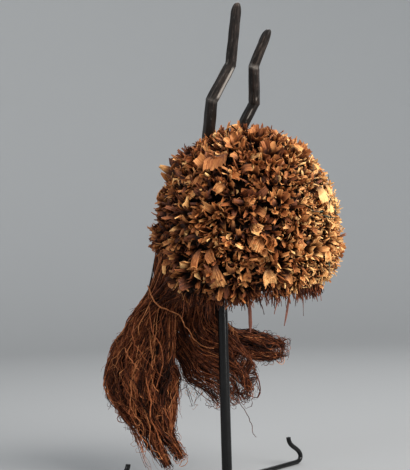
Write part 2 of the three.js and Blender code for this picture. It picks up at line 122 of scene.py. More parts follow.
# %% Skins over rings of points
def skin(rings):
    """Closed bodies over rings, as (points, faces). ``rings`` is (bodies, stations, corners, 3).

    Neighbouring rings are joined by quads. At each end the ring is folded flat: corner i is
    joined to corner -i across it, so a thin curved section stays thin.
    """
    bodies, stations, corners, _ = rings.shape
    number = np.arange(bodies * stations * corners).reshape(bodies, stations, corners)
    ahead = np.roll(number, -1, axis=2)
    sides = np.stack([number[:, :-1], ahead[:, :-1], ahead[:, 1:], number[:, 1:]], -1)
    quads, triangles = [sides.reshape(-1, 4)], []
    for ring in (number[:, 0, ::-1], number[:, -1]):
        if corners == 3:
            triangles.append(ring)
            continue
        half = corners // 2
        triangles.append(ring[:, [0, 1, corners - 1]])
        triangles.append(ring[:, [half - 1, half, half + 1]])
        for i in range(1, half - 1):
            quads.append(ring[:, [i, i + 1, corners - i - 1, corners - i]])
    return rings.reshape(-1, 3), [np.concatenate(quads), np.concatenate(triangles)]


def grid(points):
    """Points and quads of a (rows, columns, 3) grid whose columns run round and meet themselves."""
    rows, columns, _ = points.shape
    number = np.arange(rows * columns).reshape(rows, columns)
    ahead = np.roll(number, -1, axis=1)
    faces = np.stack([number[:-1], number[1:], ahead[1:], ahead[:-1]], -1)
    return points.reshape(-1, 3), faces.reshape(-1, 4)


def gathered(shapes):
    """Several skins as one: points follow on from each other and face numbers are moved up."""
    points, quads, triangles, start = [], [], [], 0
    for part_points, (part_quads, part_triangles) in shapes:
        points.append(part_points)
        quads.append(part_quads + start)
        triangles.append(part_triangles + start)
        start += len(part_points)
    return np.concatenate(points), [np.concatenate(quads), np.concatenate(triangles)]


def per_point(numbers, rings):
    """One number for each body, repeated for every point of its rings."""
    return np.broadcast_to(numbers[:, None, None], rings.shape[:3]).ravel()


print("skins, grids and gathered skins")

# %% [markdown]
# The arrays then go straight into a Blender mesh, with foreach_set, which is hundreds of times
# faster than adding faces one by one. What a finish has to know of each point, such as how pale
# its leaf is, travels along as a UV map or as a named number.


# %% Meshes from arrays
def new_mesh(name, points, faces, uv=None, values=None):
    """A mesh from arrays. ``uv`` holds two numbers and ``values`` named numbers for each point."""
    mesh = bpy.data.meshes.new(name)
    corners = np.concatenate([block.ravel() for block in faces]).astype(np.int32)
    sizes = np.concatenate([np.full(len(block), block.shape[1]) for block in faces])
    starts = np.concatenate([[0], np.cumsum(sizes)[:-1]]).astype(np.int32)
    mesh.vertices.add(len(points))
    mesh.vertices.foreach_set("co", points.astype(np.float32).ravel())
    mesh.loops.add(len(corners))
    mesh.loops.foreach_set("vertex_index", corners)
    mesh.polygons.add(len(sizes))
    mesh.polygons.foreach_set("loop_start", starts)
    mesh.update(calc_edges=True)
    if uv is not None:
        layer = mesh.uv_layers.new(name="along")
        layer.data.foreach_set("uv", uv[corners].astype(np.float32).ravel())
    for key, numbers in (values or {}).items():
        attribute = mesh.attributes.new(key, "FLOAT", "POINT")
        attribute.data.foreach_set("value", numbers.astype(np.float32).ravel())
    return mesh


def held_volume(points, faces):
    """The volume inside closed faces, by summing a . (b x c) / 6 over their triangles."""
    total = 0.0
    for block in faces:
        for i in range(1, block.shape[1] - 1):
            a, b, c = points[block[:, 0]], points[block[:, i]], points[block[:, i + 1]]
            total += np.einsum("ij,ij->", a, np.cross(b, c)) / 6
    return total


print("meshes from arrays of points, faces, UV and named numbers")

# %% [markdown]
# A finished piece stays at the origin, with its place in its mesh. It rides on a body of the
# frame, gets the material of its finish, and names the frame's nodes that it stands for, which are
# then hidden.
# Edges sharper than a given angle are kept crisp, and all others are shaded smooth.


# %% Finished pieces
def add_piece(name, shape, finish, stands_for, uv=None, values=None, sharp=50):
    """A finished piece of the object, in place, riding on the frame's only body."""
    points, faces = shape
    mesh = new_mesh(name, points, faces, uv, values)
    mesh.materials.append(finish.material)
    mesh.shade_smooth()
    mesh.set_sharp_from_angle(angle=math.radians(sharp))
    piece = bpy.data.objects.new(name, mesh)
    bpy.context.scene.collection.objects.link(piece)
    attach(piece, "root")
    if stands_for:
        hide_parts(*stands_for)
    triangles = sum(len(block) * (block.shape[1] - 2) for block in faces)
    millilitres = held_volume(points, faces) * 1e6
    print(f"{name}: {triangles} triangles, {millilitres:.1f} ml")


print("pieces go into the slots of", len(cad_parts), "frame nodes")

# %% [markdown]
# Shader maths reads best as ordinary sums. A Wire wraps one socket, and each Python operator on it
# adds the Math node that does the sum. A Finish is a material under construction: its one method
# adds any other node, with the node's settings and then the values or wires of its sockets.


# %% Wires and finishes
class Wire:
    """A socket on which +, - and * work, in either order, with numbers or other wires."""

    def __init__(self, finish, socket):
        self.finish = finish
        self.socket = socket

    def out(self, name):
        """Another output of the node that this wire comes from."""
        return Wire(self.finish, self.socket.node.outputs[name])

    def maths(self, operation, first, second):
        """The wire of one Math node."""
        return self.finish.node("Math", {"operation": operation}, {0: first, 1: second})

    def __add__(self, other):
        return self.maths("ADD", self, other)

    def __radd__(self, other):
        return self.maths("ADD", other, self)

    def __sub__(self, other):
        return self.maths("SUBTRACT", self, other)

    def __rsub__(self, other):
        return self.maths("SUBTRACT", other, self)

    def __mul__(self, other):
        return self.maths("MULTIPLY", self, other)

    def __rmul__(self, other):
        return self.maths("MULTIPLY", other, self)


class Finish:
    """A material with one Principled shader and the nodes that lead to it."""

    def __init__(self, name, roughness=0.6, specular=0.5, sheen=0.0):
        self.material = bpy.data.materials.new(name)
        self.material.use_nodes = True
        self.tree = self.material.node_tree
        self.tree.nodes.clear()
        self.shader = self.tree.nodes.new("ShaderNodeBsdfPrincipled")
        output = self.tree.nodes.new("ShaderNodeOutputMaterial")
        self.tree.links.new(self.shader.outputs["BSDF"], output.inputs["Surface"])
        self.shader.inputs["Roughness"].default_value = roughness
        self.shader.inputs["Specular IOR Level"].default_value = specular
        self.shader.inputs["Sheen Weight"].default_value = sheen

    def node(self, kind, settings=None, sockets=None, out=0):
        """Adds a node of a type, sets its settings, then its sockets, and gives an output wire."""
        made = self.tree.nodes.new("ShaderNode" + kind)
        for key, value in (settings or {}).items():
            if key == "stops":
                self.set_stops(made.color_ramp, value)
            else:
                setattr(made, key, value)
        for key, value in (sockets or {}).items():
            self.feed(made.inputs[key], value)
        return Wire(self, made.outputs[out])

    def feed(self, socket, value):
        """Links a wire to a socket, or sets a value on it."""
        if isinstance(value, Wire):
            self.tree.links.new(value.socket, socket)
        else:
            socket.default_value = value

    def set_stops(self, ramp, stops):
        """Gives a colour ramp its stops, each a place from 0 to 1 and a colour."""
        for _ in range(len(stops) - 2):
            ramp.elements.new(0.5)
        for element, (place, colour) in zip(ramp.elements, stops):
            element.position = place
            element.color = (*colour, 1)

    def set(self, socket, value):
        """Feeds one of the shader's own sockets."""
        self.feed(self.shader.inputs[socket], value)

    def value(self, name):
        """A named number that the mesh holds for each point."""
        return self.node("Attribute", {"attribute_name": name}, out="Fac")

    def place(self):
        """The point's own place on the object, in metres."""
        return self.node("TexCoord", out="Object")

    def along(self):
        """The two numbers of the piece's UV map, as two wires."""
        uv = self.node("UVMap", {"uv_map": "along"})
        split = self.node("SeparateXYZ", sockets={0: uv})
        return split, split.out("Y")

    def vector(self, x, y, z=0.0):
        """Three numbers or wires as one vector."""
        return self.node("CombineXYZ", sockets={0: x, 1: y, 2: z})

    def noise(self, vector, scale, detail=3.0, roughness=0.55):
        """Smooth noise, from 0 to 1, with its grains 1 / scale apart."""
        sockets = {"Vector": vector, "Scale": scale, "Detail": detail, "Roughness": roughness}
        return self.node("TexNoise", sockets=sockets)

    def ramp(self, factor, stops):
        """A colour for each value of ``factor``, between the stops."""
        return self.node("ValToRGB", {"stops": stops}, {0: factor})

    def mixed(self, factor, first, second, way="MIX"):
        """Two colours mixed by a factor, or blended another way."""
        settings = {"data_type": "RGBA", "blend_type": way}
        return self.node("Mix", settings, {0: factor, 6: first, 7: second}, out=2)

    def relief(self, height, strength, distance):
        """Bumps on the surface that follow ``height``, ``distance`` metres high."""
        sockets = {"Height": height, "Strength": strength, "Distance": distance}
        self.set("Normal", self.node("Bump", sockets=sockets))


print("wires and finishes ready")

# %% [markdown]
# The setting stays plain, so that all attention goes to the mask: a pale grey floor that rises all
# round into a wall, with no corner to see. A bowl turned about the rod does this for every side
# that the mask is looked at from. A photographer would hang up a long sheet of paper for it, which
# gives the finish: matt, and a little clouded.

# %% Floor and wall
FLOOR_RINGS = (0.02, 0.6, 1.2, 1.8)
FLOOR_RADIUS = 2.4
SWEEP_RADIUS = 2.6
SWEEP_ROWS = 25
WALL_HEIGHT = 3.2
BOWL_COLUMNS = 96


def bowl():
    """A profile turned about Z: flat to FLOOR_RADIUS, a quarter circle up, then a straight wall."""
    sweep = np.linspace(0, math.pi / 2, SWEEP_ROWS)
    swept_reach = FLOOR_RADIUS + SWEEP_RADIUS * np.sin(sweep)
    swept_height = SWEEP_RADIUS * (1 - np.cos(sweep))
    reach = np.concatenate([FLOOR_RINGS, swept_reach, swept_reach[-1:]])[:, None]
    height = np.concatenate([np.zeros(len(FLOOR_RINGS)), swept_height, [WALL_HEIGHT]])[:, None]
    turn = np.linspace(0, 2 * math.pi, BOWL_COLUMNS, endpoint=False)
    profile = np.broadcast_arrays(reach * np.cos(turn), reach * np.sin(turn), height)
    points, faces = grid(np.stack(profile, -1))
    hub = np.arange(BOWL_COLUMNS)[None, :]
    return points, [faces[:, ::-1], hub]


def grey_paper():
    """Pale grey, a shade darker on the floor and the sweep, which catch most of the light."""
    finish = Finish("grey_paper", roughness=0.9, specular=0.1)
    from_middle = finish.node("VectorMath", {"operation": "LENGTH"}, {0: finish.place()}, "Value")
    cloud = finish.noise(finish.place(), 1.3)
    finish.set("Base Color", finish.ramp(from_middle * 0.18 + cloud * 0.04, [
        (0.10, (0.330, 0.336, 0.342)), (0.45, (0.350, 0.357, 0.364)), (0.70, (0.430, 0.440, 0.450)),
        (1.00, (0.520, 0.532, 0.540)),
    ]))
    return finish


floor_points, floor_faces = bowl()
floor = bpy.data.objects.new("floor", new_mesh("floor", floor_points, floor_faces))
floor.data.materials.append(grey_paper().material)
floor.data.shade_smooth()
bpy.context.scene.collection.objects.link(floor)
print("bowl of", len(floor_points), "points")

# %% [markdown]
# The light is soft, with the strongest source above and to the right of the camera, a weaker one on
# the left, one behind and a little from everywhere. A tall light at the right draws a bright band
# down the rod and the flats of the horns. Each light's spread is kept narrow, so that it falls on
# the mask and leaves no bright patch on the wall beside it.

# %% Light
LIGHTS = (
    # name, direction across, deep and up, distance, width and height, power, colour
    ("key", (0.8, -0.75, 0.85), 4.4, (2.8, 2.8), 102, (1.0, 0.97, 0.93)),
    ("fill", (-0.9, -0.8, 0.35), 4.0, (2.2, 2.2), 20, (0.93, 0.96, 1.0)),
    ("back", (0.2, 0.9, 0.9), 2.8, (1.8, 1.8), 10, (1.0, 1.0, 1.0)),
    ("side", (0.81, -0.58, 0.02), 3.2, (0.8, 2.4), 32, (1.0, 0.99, 0.97)),
)
LIGHT_SPREAD = math.radians(110)
LIT_PLACE = np.array([0.0, 0.03, 0.36])
ROOM_COLOUR = (0.93, 0.97, 1.0, 1)
ROOM_STRENGTH = 0.55


def soft_light(name, direction, distance, size, power, colour):
    """A light of a width and a height, ``distance`` from the hood, turned to face it. It lights
    and is mirrored, but isn't seen itself."""
    lamp = bpy.data.lights.new(name, "AREA")
    lamp.shape = "RECTANGLE"
    lamp.size, lamp.size_y = size
    lamp.energy, lamp.color = power, colour
    lamp.spread = LIGHT_SPREAD
    holder = bpy.data.objects.new(name, lamp)
    holder.visible_camera = False
    bpy.context.scene.collection.objects.link(holder)
    away = unit(at(*direction))
    holder.location = LIT_PLACE + distance * away
    holder.rotation_euler = Vector(away).to_track_quat("Z", "Y").to_euler()


for light in LIGHTS:
    soft_light(*light)
world = bpy.data.worlds.new("room")
world.use_nodes = True
world.node_tree.nodes["Background"].inputs["Color"].default_value = ROOM_COLOUR
world.node_tree.nodes["Background"].inputs["Strength"].default_value = ROOM_STRENGTH
bpy.context.scene.world = world
bpy.context.scene.view_settings.view_transform = "Standard"
print(len(LIGHTS), "soft lights")

# %% [markdown]
# The hood is one smooth egg shape, so one function can say where any point of it lies: `down` runs
# from the crown to the rim and `turn` goes round. The cap, the leaves' roots and the fibres that
# start high on the cheek all ask this one function, and therefore fit each other. Its sizes are
# those of the frame.

# %% The hood's form
HOOD_CENTRE = np.array([0, 57, 386]) * MM
HOOD_HALF_WIDTH = 118 * MM
HOOD_HALF_LENGTH = 135 * MM
CROWN_RISE = 147 * MM
CHEEK_DROP = 101 * MM
CHEEK_POWER = 2 / 3
RIM_REACH = 0.75
RIM_TILT = 9 * MM
RIM_ANGLE = math.pi - math.asin(RIM_REACH ** (1 / CHEEK_POWER))
CAP_SHARE = 0.967
HOLLOW_REACH = 0.75
HOLLOW_RISE = 121 * MM
MOUTH_REACH = 0.685


def on_hood(reach, rise, turn):
    """A place from its reach, as a share of the half width, its rise and the angle round. Below
    the widest place the hood is tilted: it rises by RIM_TILT * hang * across, so it hangs lower
    at the left of the view than at the right."""
    across = np.cos(turn) * ACROSS[0] + np.sin(turn) * ACROSS[1]
    hang = np.maximum(0, -rise) / CHEEK_DROP * reach / RIM_REACH
    x = HOOD_HALF_WIDTH * reach * np.cos(turn)
    y = HOOD_HALF_LENGTH * reach * np.sin(turn)
    return HOOD_CENTRE + np.stack([x, y, rise + RIM_TILT * hang * across], -1)


def hood_skin(down, turn, share=1.0):
    """The hood's outer surface. With a = down * RIM_ANGLE, the upper half is a quarter ellipse,
    reach sin(a) and rise CROWN_RISE * cos(a), and the lower half the same with both raised to
    the power 2/3, which keeps the cheeks full. ``share`` draws reach and rise in."""
    angle = down * RIM_ANGLE
    above = angle <= math.pi / 2
    sine, cosine = np.sin(angle), np.cos(angle)
    reach = share * np.where(above, sine, sine ** CHEEK_POWER)
    rise = np.where(above, share * CROWN_RISE * cosine, -CHEEK_DROP * abs(cosine) ** CHEEK_POWER)
    return on_hood(reach, rise, turn)


def hood_axes(down, turn):
    """Place, outward direction and the directions round and down, from small differences."""
    step = 1e-3
    lower = hood_skin(np.minimum(down + step, 1), turn)
    upper = hood_skin(np.maximum(down - step, 0), turn)
    downward = unit(lower - upper)
    around = unit(hood_skin(down, turn + step) - hood_skin(down, turn - step))
    return hood_skin(down, turn), unit(np.cross(downward, around)), around, downward


def even_places(count, seed, first=0.03):
    """``count`` places spread evenly: each holds the same area, and turn grows by the golden
    angle from one to the next, as seeds sit in a flower head. The area down to a place is summed
    from girth * run along a line from the crown to the rim."""
    down = np.linspace(first, 1, 300)
    place, _, _, _ = hood_axes(down, np.full(len(down), 0.8))
    girth = np.hypot(place[:, 0] / HOOD_HALF_WIDTH, (place - HOOD_CENTRE)[:, 1] / HOOD_HALF_LENGTH)
    run = np.linalg.norm(np.diff(place, axis=0, prepend=place[:1]), axis=1)
    area = np.cumsum(girth * run)
    random = np.random.default_rng(seed)
    share = (np.arange(count) + 0.5 + 0.6 * (random.random(count) - 0.5)) / count
    turn = np.arange(count) * math.pi * (3 - math.sqrt(5)) + 0.1 * random.standard_normal(count)
    return np.interp(share * area[-1], area, down), turn


print("rim angle", round(math.degrees(RIM_ANGLE), 1), "degrees")

# %% [markdown]
# The cap is what everything hangs on: a woven bast shell that fits over the head. It shows only
# from below, inside the mouth, and as darkness between the leaves, for its outside is painted
# nearly black as painted shade for those gaps. It is one closed skin: down the outside, under the
# rim and back up the inside. Its weave is colour and bump over that skin.

# %% The woven cap
CAP_COLUMNS = 96
OUTSIDE_ROWS = 34
WALL_ROWS = 10
DOME_ROWS = 15
CAP_ROWS = OUTSIDE_ROWS + WALL_ROWS + DOME_ROWS
CROWN_GAP = 0.012
DOME_GAP = 0.02


def cap_skin():
    """Rows down the outside at CAP_SHARE, then up the hollow: a slowly widening wall below the
    widest place and an ellipse above it. A polygon closes the small gap at each pole."""
    turn = np.linspace(0, 2 * math.pi, CAP_COLUMNS, endpoint=False)
    down = np.linspace(CROWN_GAP, 1, OUTSIDE_ROWS)
    outside = hood_skin(down[:, None], turn[None, :], CAP_SHARE)
    rim_rise = -CHEEK_DROP * abs(math.cos(RIM_ANGLE)) ** CHEEK_POWER
    low = np.linspace(0, 1, WALL_ROWS)
    high = np.linspace(0, math.pi / 2 - DOME_GAP, DOME_ROWS + 1)[1:]
    reach = np.concatenate([blend(MOUTH_REACH, HOLLOW_REACH, ease(0, 1, low)),
                            HOLLOW_REACH * np.cos(high)])
    rise = np.concatenate([rim_rise * (1 - low), HOLLOW_RISE * np.sin(high)])
    inside = on_hood(reach[:, None], rise[:, None], turn[None, :])
    points, faces = grid(np.concatenate([outside, inside]))
    first = np.arange(CAP_COLUMNS)[None, :]
    last = first[:, ::-1] + len(points) - CAP_COLUMNS
    return points, [faces, first, last]


def weave():
    """Plain weave: strands over and under each other, as the product of two waves. Outside, under
    the leaves, it is painted nearly black, as painted shade for the gaps between the leaves."""
    finish = Finish("woven_bast", roughness=0.85, specular=0.15)
    around, down = finish.along()
    over = finish.node("Math", {"operation": "SINE"}, {0: around * 150.0})
    under = finish.node("Math", {"operation": "SINE"}, {0: down * 90.0})
    cross = over * under * 0.5 + 0.5
    grain = finish.noise(finish.place(), 420.0, 4.0)
    level = cross * 0.55 + grain * 0.45
    woven = finish.ramp(level, [
        (0.15, (0.012, 0.006, 0.004)), (0.55, (0.060, 0.030, 0.016)), (0.95, (0.150, 0.085, 0.045)),
    ])
    # Painted shade: outside the lining the weave is nearly black, standing in for the shade between
    # the leaves.
    painted_gap_shade = finish.ramp(level, [(0.2, (0.004, 0.002, 0.001)), (0.9, (0.022, 0.010, 0.005))])
    finish.set("Base Color", finish.mixed(finish.value("lining"), painted_gap_shade, woven))
    finish.relief(level, 0.8, 0.0012)
    return finish


column = np.tile(np.arange(CAP_COLUMNS), CAP_ROWS)
row = np.repeat(np.arange(CAP_ROWS), CAP_COLUMNS)
fold_round = abs(column / CAP_COLUMNS * 2 - 1)
cap_uv = np.stack([fold_round * 2 * math.pi, row / CAP_ROWS * 2 * math.pi], -1)
lining = {"lining": (row >= OUTSIDE_ROWS).astype(float)}
add_piece("woven_cap", cap_skin(), weave(), ["cap"], cap_uv, lining)

# %% [markdown]
# Bars, strips and welds are sections carried along a line, as dough is pressed through a nozzle
# that turns with its path. Blender's curves can do this too, but their ends and their UV are hard
# to control, so a few lines of numpy do it here.


# %% Lines and sections carried along them
def resampled(points, count):
    """``count`` points at even distances along a line of points."""
    run = np.concatenate([[0], np.cumsum(np.linalg.norm(np.diff(points, axis=0), axis=1))])
    even = np.linspace(0, run[-1], count)
    return np.stack([np.interp(even, run, points[:, i]) for i in range(3)], -1)


def carried(line, wide_reach, deep_reach, facing):
    """A section carried along a line: line + wide_reach * wide + deep_reach * deep. ``deep`` is
    ``facing`` squared to the line, and ``wide`` is deep x along. The two reaches hold one row
    for each point of the line and one column for each corner of the section."""
    along = unit(np.gradient(line, axis=0))
    deep = unit(facing - (along @ facing)[:, None] * along)
    wide = np.cross(deep, along)
    offset = wide_reach[..., None] * wide[:, None] + deep_reach[..., None] * deep[:, None]
    return (line[:, None] + offset)[None]


print("even places along a line, and sections carried along it")

# %% [markdown]
# The horns are two zigzags carved from blackened wood. The knife left long flats that meet in
# sharp edges, and each straight length was cut by itself, so the flats don't run on past a bend.
# A section bounded by flats is easy to state as a formula: in any direction its reach is the
# least of all the flats' distances, each divided by the cosine of the angle to it.

# %% The horns' sizes and flats
LEFT_HORN_ROOT = np.array([29.5, 5.5, 512]) * MM
RIGHT_HORN_ROOT = np.array([25.5, -1.5, 512]) * MM
HORN_FIRST_BEND = np.array([47, 36, 588]) * MM
HORN_SECOND_BEND = np.array([25.5, 57, 641]) * MM
LEFT_HORN_TIP = np.array([45, 92, 727]) * MM
RIGHT_HORN_TIP = np.array([38, 79, 697]) * MM
HORN_RADIUS = 9.4 * MM
HORN_TIP_RADIUS = 7.4 * MM
HORN_CORNERS = 96
FLATS = 7
FACING_LEAST = 0.2
CORNER_REACH = 1.09
EDGE_SHARE = 0.06


def flats(angle, ridge, random):
    """The section of one straight length: least of distance / cos(angle - flat), and how near
    each point lies to an edge between two flats. One edge lies near the angle ``ridge``: 0 is at
    the left of the picture, 90 degrees faces the eye and 180 is at the right."""
    flat = (np.arange(FLATS) + 0.5 + random.uniform(-0.1, 0.1, FLATS)) * 2 * math.pi / FLATS
    flat = flat + math.radians(ridge)
    distance = random.uniform(0.92, 1.03, FLATS)
    facing = np.cos(angle[:, None] - flat[None, :])
    reach = np.where(facing > FACING_LEAST, distance / np.maximum(facing, FACING_LEAST), np.inf)
    nearest, second, *_ = np.sort(reach, axis=1).T
    return np.minimum(nearest, CORNER_REACH), 1 - ease(0, EDGE_SHARE, second - nearest)


print("a horn has", FLATS, "flats and a radius of", round(HORN_RADIUS / MM, 1), "mm")

# %% [markdown]
# Where two straight lengths meet, a carver's bend is a mitre: both lengths are cut by the plane
# halfway between them. The skin's rings are sheared onto that plane near a bend, which keeps the
# corner crisp. The skin also gets two numbers for its finish: how near an edge a point lies, where
# hands rub the wood brown, and where pale patches lie, partly scuffed wood and partly painted
# highlight on flats that face the light.

# %% A horn's skin
MITRE_REACH = 12 * MM
FLAT_CHANGE = 4 * MM
TIP_LENGTH = 20 * MM
LINE_POINTS = 150
TIP_SHARE = 0.16
KNIFE_DEPTH = 0.02
KNIFE_WAVES = 190
BEND_RINGS = np.array([-4, -1.2, 1.2, 4]) * MM
SCUFF_AND_HIGHLIGHT_FADE_ALONG, SCUFF_AND_HIGHLIGHT_FADE_ROUND = 2, 5


def horn_bends(side, root, tip):
    """The corners of a horn's middle line, on the mask's left (side 1) or right (side -1)."""
    return np.array([root, HORN_FIRST_BEND, HORN_SECOND_BEND, tip]) * [side, 1, 1]


def soft_band(value, low, high, fade):
    """1 from low to high, and an ease down to 0 over ``fade`` on both sides."""
    return ease(low - fade, low + fade, value) * ease(high + fade, high - fade, value)


def patch(run, angle, start, end, low, high):
    """1 within a patch of the skin, from start to end in millimetres along it and from low to
    high in degrees round it, with soft edges."""
    along = soft_band(run / MM, start, end, SCUFF_AND_HIGHLIGHT_FADE_ALONG)
    return along[:, None] * soft_band(np.degrees(angle), low, high, SCUFF_AND_HIGHLIGHT_FADE_ROUND)[None]


def horn(corners, ridges, scuffs_and_highlights, seed):
    """The skin of a horn, its UV, its wear and its pale patches, partly scuffed and partly painted
    highlight.

    Stations run along three straight lengths. Where two lengths meet, their sections are sheared
    onto the plane halfway between them, as in a mitre: an offset p is moved along its length by
    -(p . n) / (way . n), and less and less over MITRE_REACH. The axes of a section turn with the
    line: v becomes v - (a + b)(v . (a + b)) / (1 + a . b) + 2 b (v . a) from way a to way b.
    """
    random = np.random.default_rng(seed)
    lengths = np.linalg.norm(np.diff(corners, axis=0), axis=1)
    ways = np.diff(corners, axis=0) / lengths[:, None]
    at_corner = np.concatenate([[0], np.cumsum(lengths)])
    total = at_corner[-1]
    run = np.unique(np.concatenate([
        np.linspace(0, total, 50), at_corner, np.linspace(total - TIP_LENGTH, total, 16),
        *[bend + BEND_RINGS for bend in at_corner[1:-1]],
    ]))
    length = np.minimum(np.searchsorted(at_corner, run, side="right") - 1, len(ways) - 1)
    deep = [unit(-DEEP + ways[0] * (ways[0] @ DEEP))]
    for a, b in zip(ways, ways[1:]):
        v = deep[-1]
        deep.append(v - (a + b) * (v @ (a + b)) / (1 + a @ b) + 2 * b * (v @ a))
    deep = np.array(deep)
    wide = np.cross(deep, ways)

    angle = np.linspace(0, 2 * math.pi, HORN_CORNERS, endpoint=False)
    (first, first_edge), (second, second_edge), (third, third_edge) = (
        flats(angle, ridge, random) for ridge in ridges
    )
    into_second, into_third = (
        ease(bend - FLAT_CHANGE, bend + FLAT_CHANGE, run)[:, None] for bend in at_corner[1:-1]
    )
    reach = blend(blend(first, second, into_second), third, into_third)
    wear = blend(blend(first_edge, second_edge, into_second), third_edge, into_third)
    waves = np.sin(run[:, None] * KNIFE_WAVES + 5 * np.sin(angle + seed)[None, :])
    knife = 1 + KNIFE_DEPTH * waves
    from_tip = np.clip((total - run) / TIP_LENGTH, 0, 1)[:, None]
    narrow = TIP_SHARE + (1 - TIP_SHARE) * np.sqrt(1 - (1 - from_tip) ** 2.4)
    radius = blend(HORN_RADIUS, HORN_TIP_RADIUS, run / total)[:, None] * reach * knife * narrow
    offset = (
        (radius * np.cos(angle))[..., None] * wide[length][:, None]
        + (radius * np.sin(angle))[..., None] * deep[length][:, None]
    )
    own = ways[length]
    for bend, a, b in zip(at_corner[1:], ways, ways[1:]):
        halfway = unit(a + b)
        near = np.maximum(0, 1 - abs(run - bend) / MITRE_REACH)
        slide = -(offset @ halfway) / (own @ halfway)[:, None] * near[:, None]
        offset = offset + slide[..., None] * own[:, None]
    middle = corners[length] + (run - at_corner[length])[:, None] * own
    lean = ((1 - narrow) * HORN_TIP_RADIUS * 0.25)[..., None] * ACROSS
    rings = (middle[:, None] + offset + lean)[None]
    fold = abs(angle / math.pi - 1) * 30 * MM
    uv = np.stack(np.broadcast_arrays(fold[None, :], run[:, None]), -1).reshape(-1, 2)
    wear = np.maximum(wear, 0.3 * ease(0.5, 0.1, from_tip)) - 0.5 * (1 - into_second)
    scuff = np.max([amount * patch(run, angle, *where) for amount, *where in scuffs_and_highlights], axis=0)
    values = {"wear": np.broadcast_to(wear, rings.shape[1:3]), "scuff": scuff}
    return skin(rings), uv, values


print("rings lie at", *(BEND_RINGS / MM).round(1), "mm from a bend")

# %% [markdown]
# The wood was stained black, and its grain runs along the horn. Noise stretched over the UV gives
# that grain. Edges are a little browner and smoother, grey dust lies in the grain, and a few pale
# patches on the faces are partly scuffed wood and partly painted highlight where flats face the
# light.


# %% The horns' finish, and both horns
def blackened_wood():
    """Wood stained black, browner and smoother where hands and knife have rubbed its edges, with
    pale patches that are partly scuffed wood and partly painted highlight.
    """
    finish = Finish("blackened_wood", specular=0.22)
    fold, run = finish.along()
    grain = finish.noise(finish.vector(fold * 420.0, run * 34.0), 1.0, 5.0, 0.6)
    cloud = finish.noise(finish.place(), 60.0, 3.0)
    wear = finish.value("wear")
    level = (grain - 0.5) * 2.0 + (cloud - 0.5) * 1.2 + wear * 0.3 + 0.33
    stained = finish.ramp(level, [
        (0.20, (0.009, 0.007, 0.006)), (0.55, (0.026, 0.019, 0.016)),
        (0.78, (0.070, 0.052, 0.042)), (1.00, (0.200, 0.165, 0.135)),
    ])
    dust = finish.noise(finish.vector(fold * 260.0, run * 90.0, 3.0), 1.0, 6.0, 0.7)
    dusty = finish.ramp(dust + wear * 0.06, [(0.58, (0.0, 0.0, 0.0)), (0.72, (0.7, 0.7, 0.7))])
    dusted = finish.mixed(dusty, stained, (0.150, 0.135, 0.120, 1))
    # Pale patches: partly scuffed wood, partly painted highlight on flats that face the light.
    rubbed = finish.value("scuff") * (0.45 + grain)
    finish.set("Base Color", finish.mixed(rubbed, dusted, (0.300, 0.270, 0.240, 1)))
    finish.set("Roughness", 0.40 - cloud * 0.15 - wear * 0.06)
    finish.relief(grain * 0.7 + cloud * 0.3, 0.35, 0.0006)
    return finish


HORNS = (
    # name, side, root, tip, the ridge of each length in degrees, and a seed
    ("left", 1, LEFT_HORN_ROOT, LEFT_HORN_TIP, (108, 114, 112), 4),
    ("right", -1, RIGHT_HORN_ROOT, RIGHT_HORN_TIP, (104, 88, 110), 9),
)
# Pale patches on the horns, partly scuffed wood and partly painted highlight on flats facing the
# light.
SCUFFS_AND_HIGHLIGHTS = {
    # amount, from and to in millimetres along, from and to in degrees round
    "left": ((1.0, 90, 141, 120, 152), (0.8, 144, 148, 38, 52), (0.15, 82, 87, 20, 160)),
    "right": ((0.8, 97, 100, 114, 130), (0.9, 62, 80, 94, 102), (0.4, 147, 152, 20, 150)),
}
KNIFE_EDGE = 18

horn_finish = blackened_wood()
horn_lines = []
for name, side, root, tip, ridges, seed in HORNS:
    bends = horn_bends(side, root, tip)
    horn_lines.append(resampled(bends, LINE_POINTS))
    shape, uv, values = horn(bends, ridges, SCUFFS_AND_HIGHLIGHTS[name], seed)
    add_piece("carved_horn_" + name, shape, horn_finish, ["horn_" + name],
              uv, values, KNIFE_EDGE)

# %% [markdown]
# A leaf is a thin strip that curls away from its root. Dry leaf keeps its ribs, cups across its
# width and breaks off ragged at the tip. The tidy way to model thousands of them would be to
# scatter copies of one leaf, but copies look alike, and here every leaf differs. So each leaf is
# computed by itself, all of them at once: a centre line that bends from `lean` to `curl`, and
# across it an arc of a certain cup, with a front and a back a little apart.

# %% The middle line of a leaf
LEAF_THICKNESS = 0.6 * MM


def leaf_frames(root, normal, out, shape, v):
    """Places along the middles of leaves, and the directions along, to the side and forward
    there. At share v a leaf's direction has turned from the normal towards ``out`` by the angle
    lean + (curl - lean) * v^bend, its middle is the sum of those directions, and it is twisted
    about itself by twist * v^1.3."""

    def angles(at_share):
        turned = (shape["curl"] - shape["lean"])[:, None]
        return shape["lean"][:, None] + turned * at_share[None, :] ** shape["bend"][:, None]

    def heading(angle):
        return np.cos(angle)[..., None] * normal[:, None] + np.sin(angle)[..., None] * out[:, None]

    half_way = np.concatenate([[0], (v[1:] + v[:-1]) / 2])
    pace = np.concatenate([[0], np.diff(v)])
    steps = heading(angles(half_way)) * (shape["length"][:, None] * pace[None, :])[..., None]
    middle = root[:, None] + np.cumsum(steps, axis=1)
    angle = angles(v)
    along = heading(angle)
    front = np.sin(angle)[..., None] * normal[:, None] - np.cos(angle)[..., None] * out[:, None]
    side = np.cross(front, along)
    twist = shape["twist"][:, None] * v[None, :] ** 1.3
    cosine, sine = np.cos(twist)[..., None], np.sin(twist)[..., None]
    return middle, along, side * cosine + front * sine, front * cosine - side * sine


print("leaves are", LEAF_THICKNESS / MM, "mm thick")

# %% [markdown]
# Round that middle line goes a thin closed ring of points: over the front of the leaf from one
# edge to the other, and back over its back. The edges are shared, so a leaf closes without a rim.


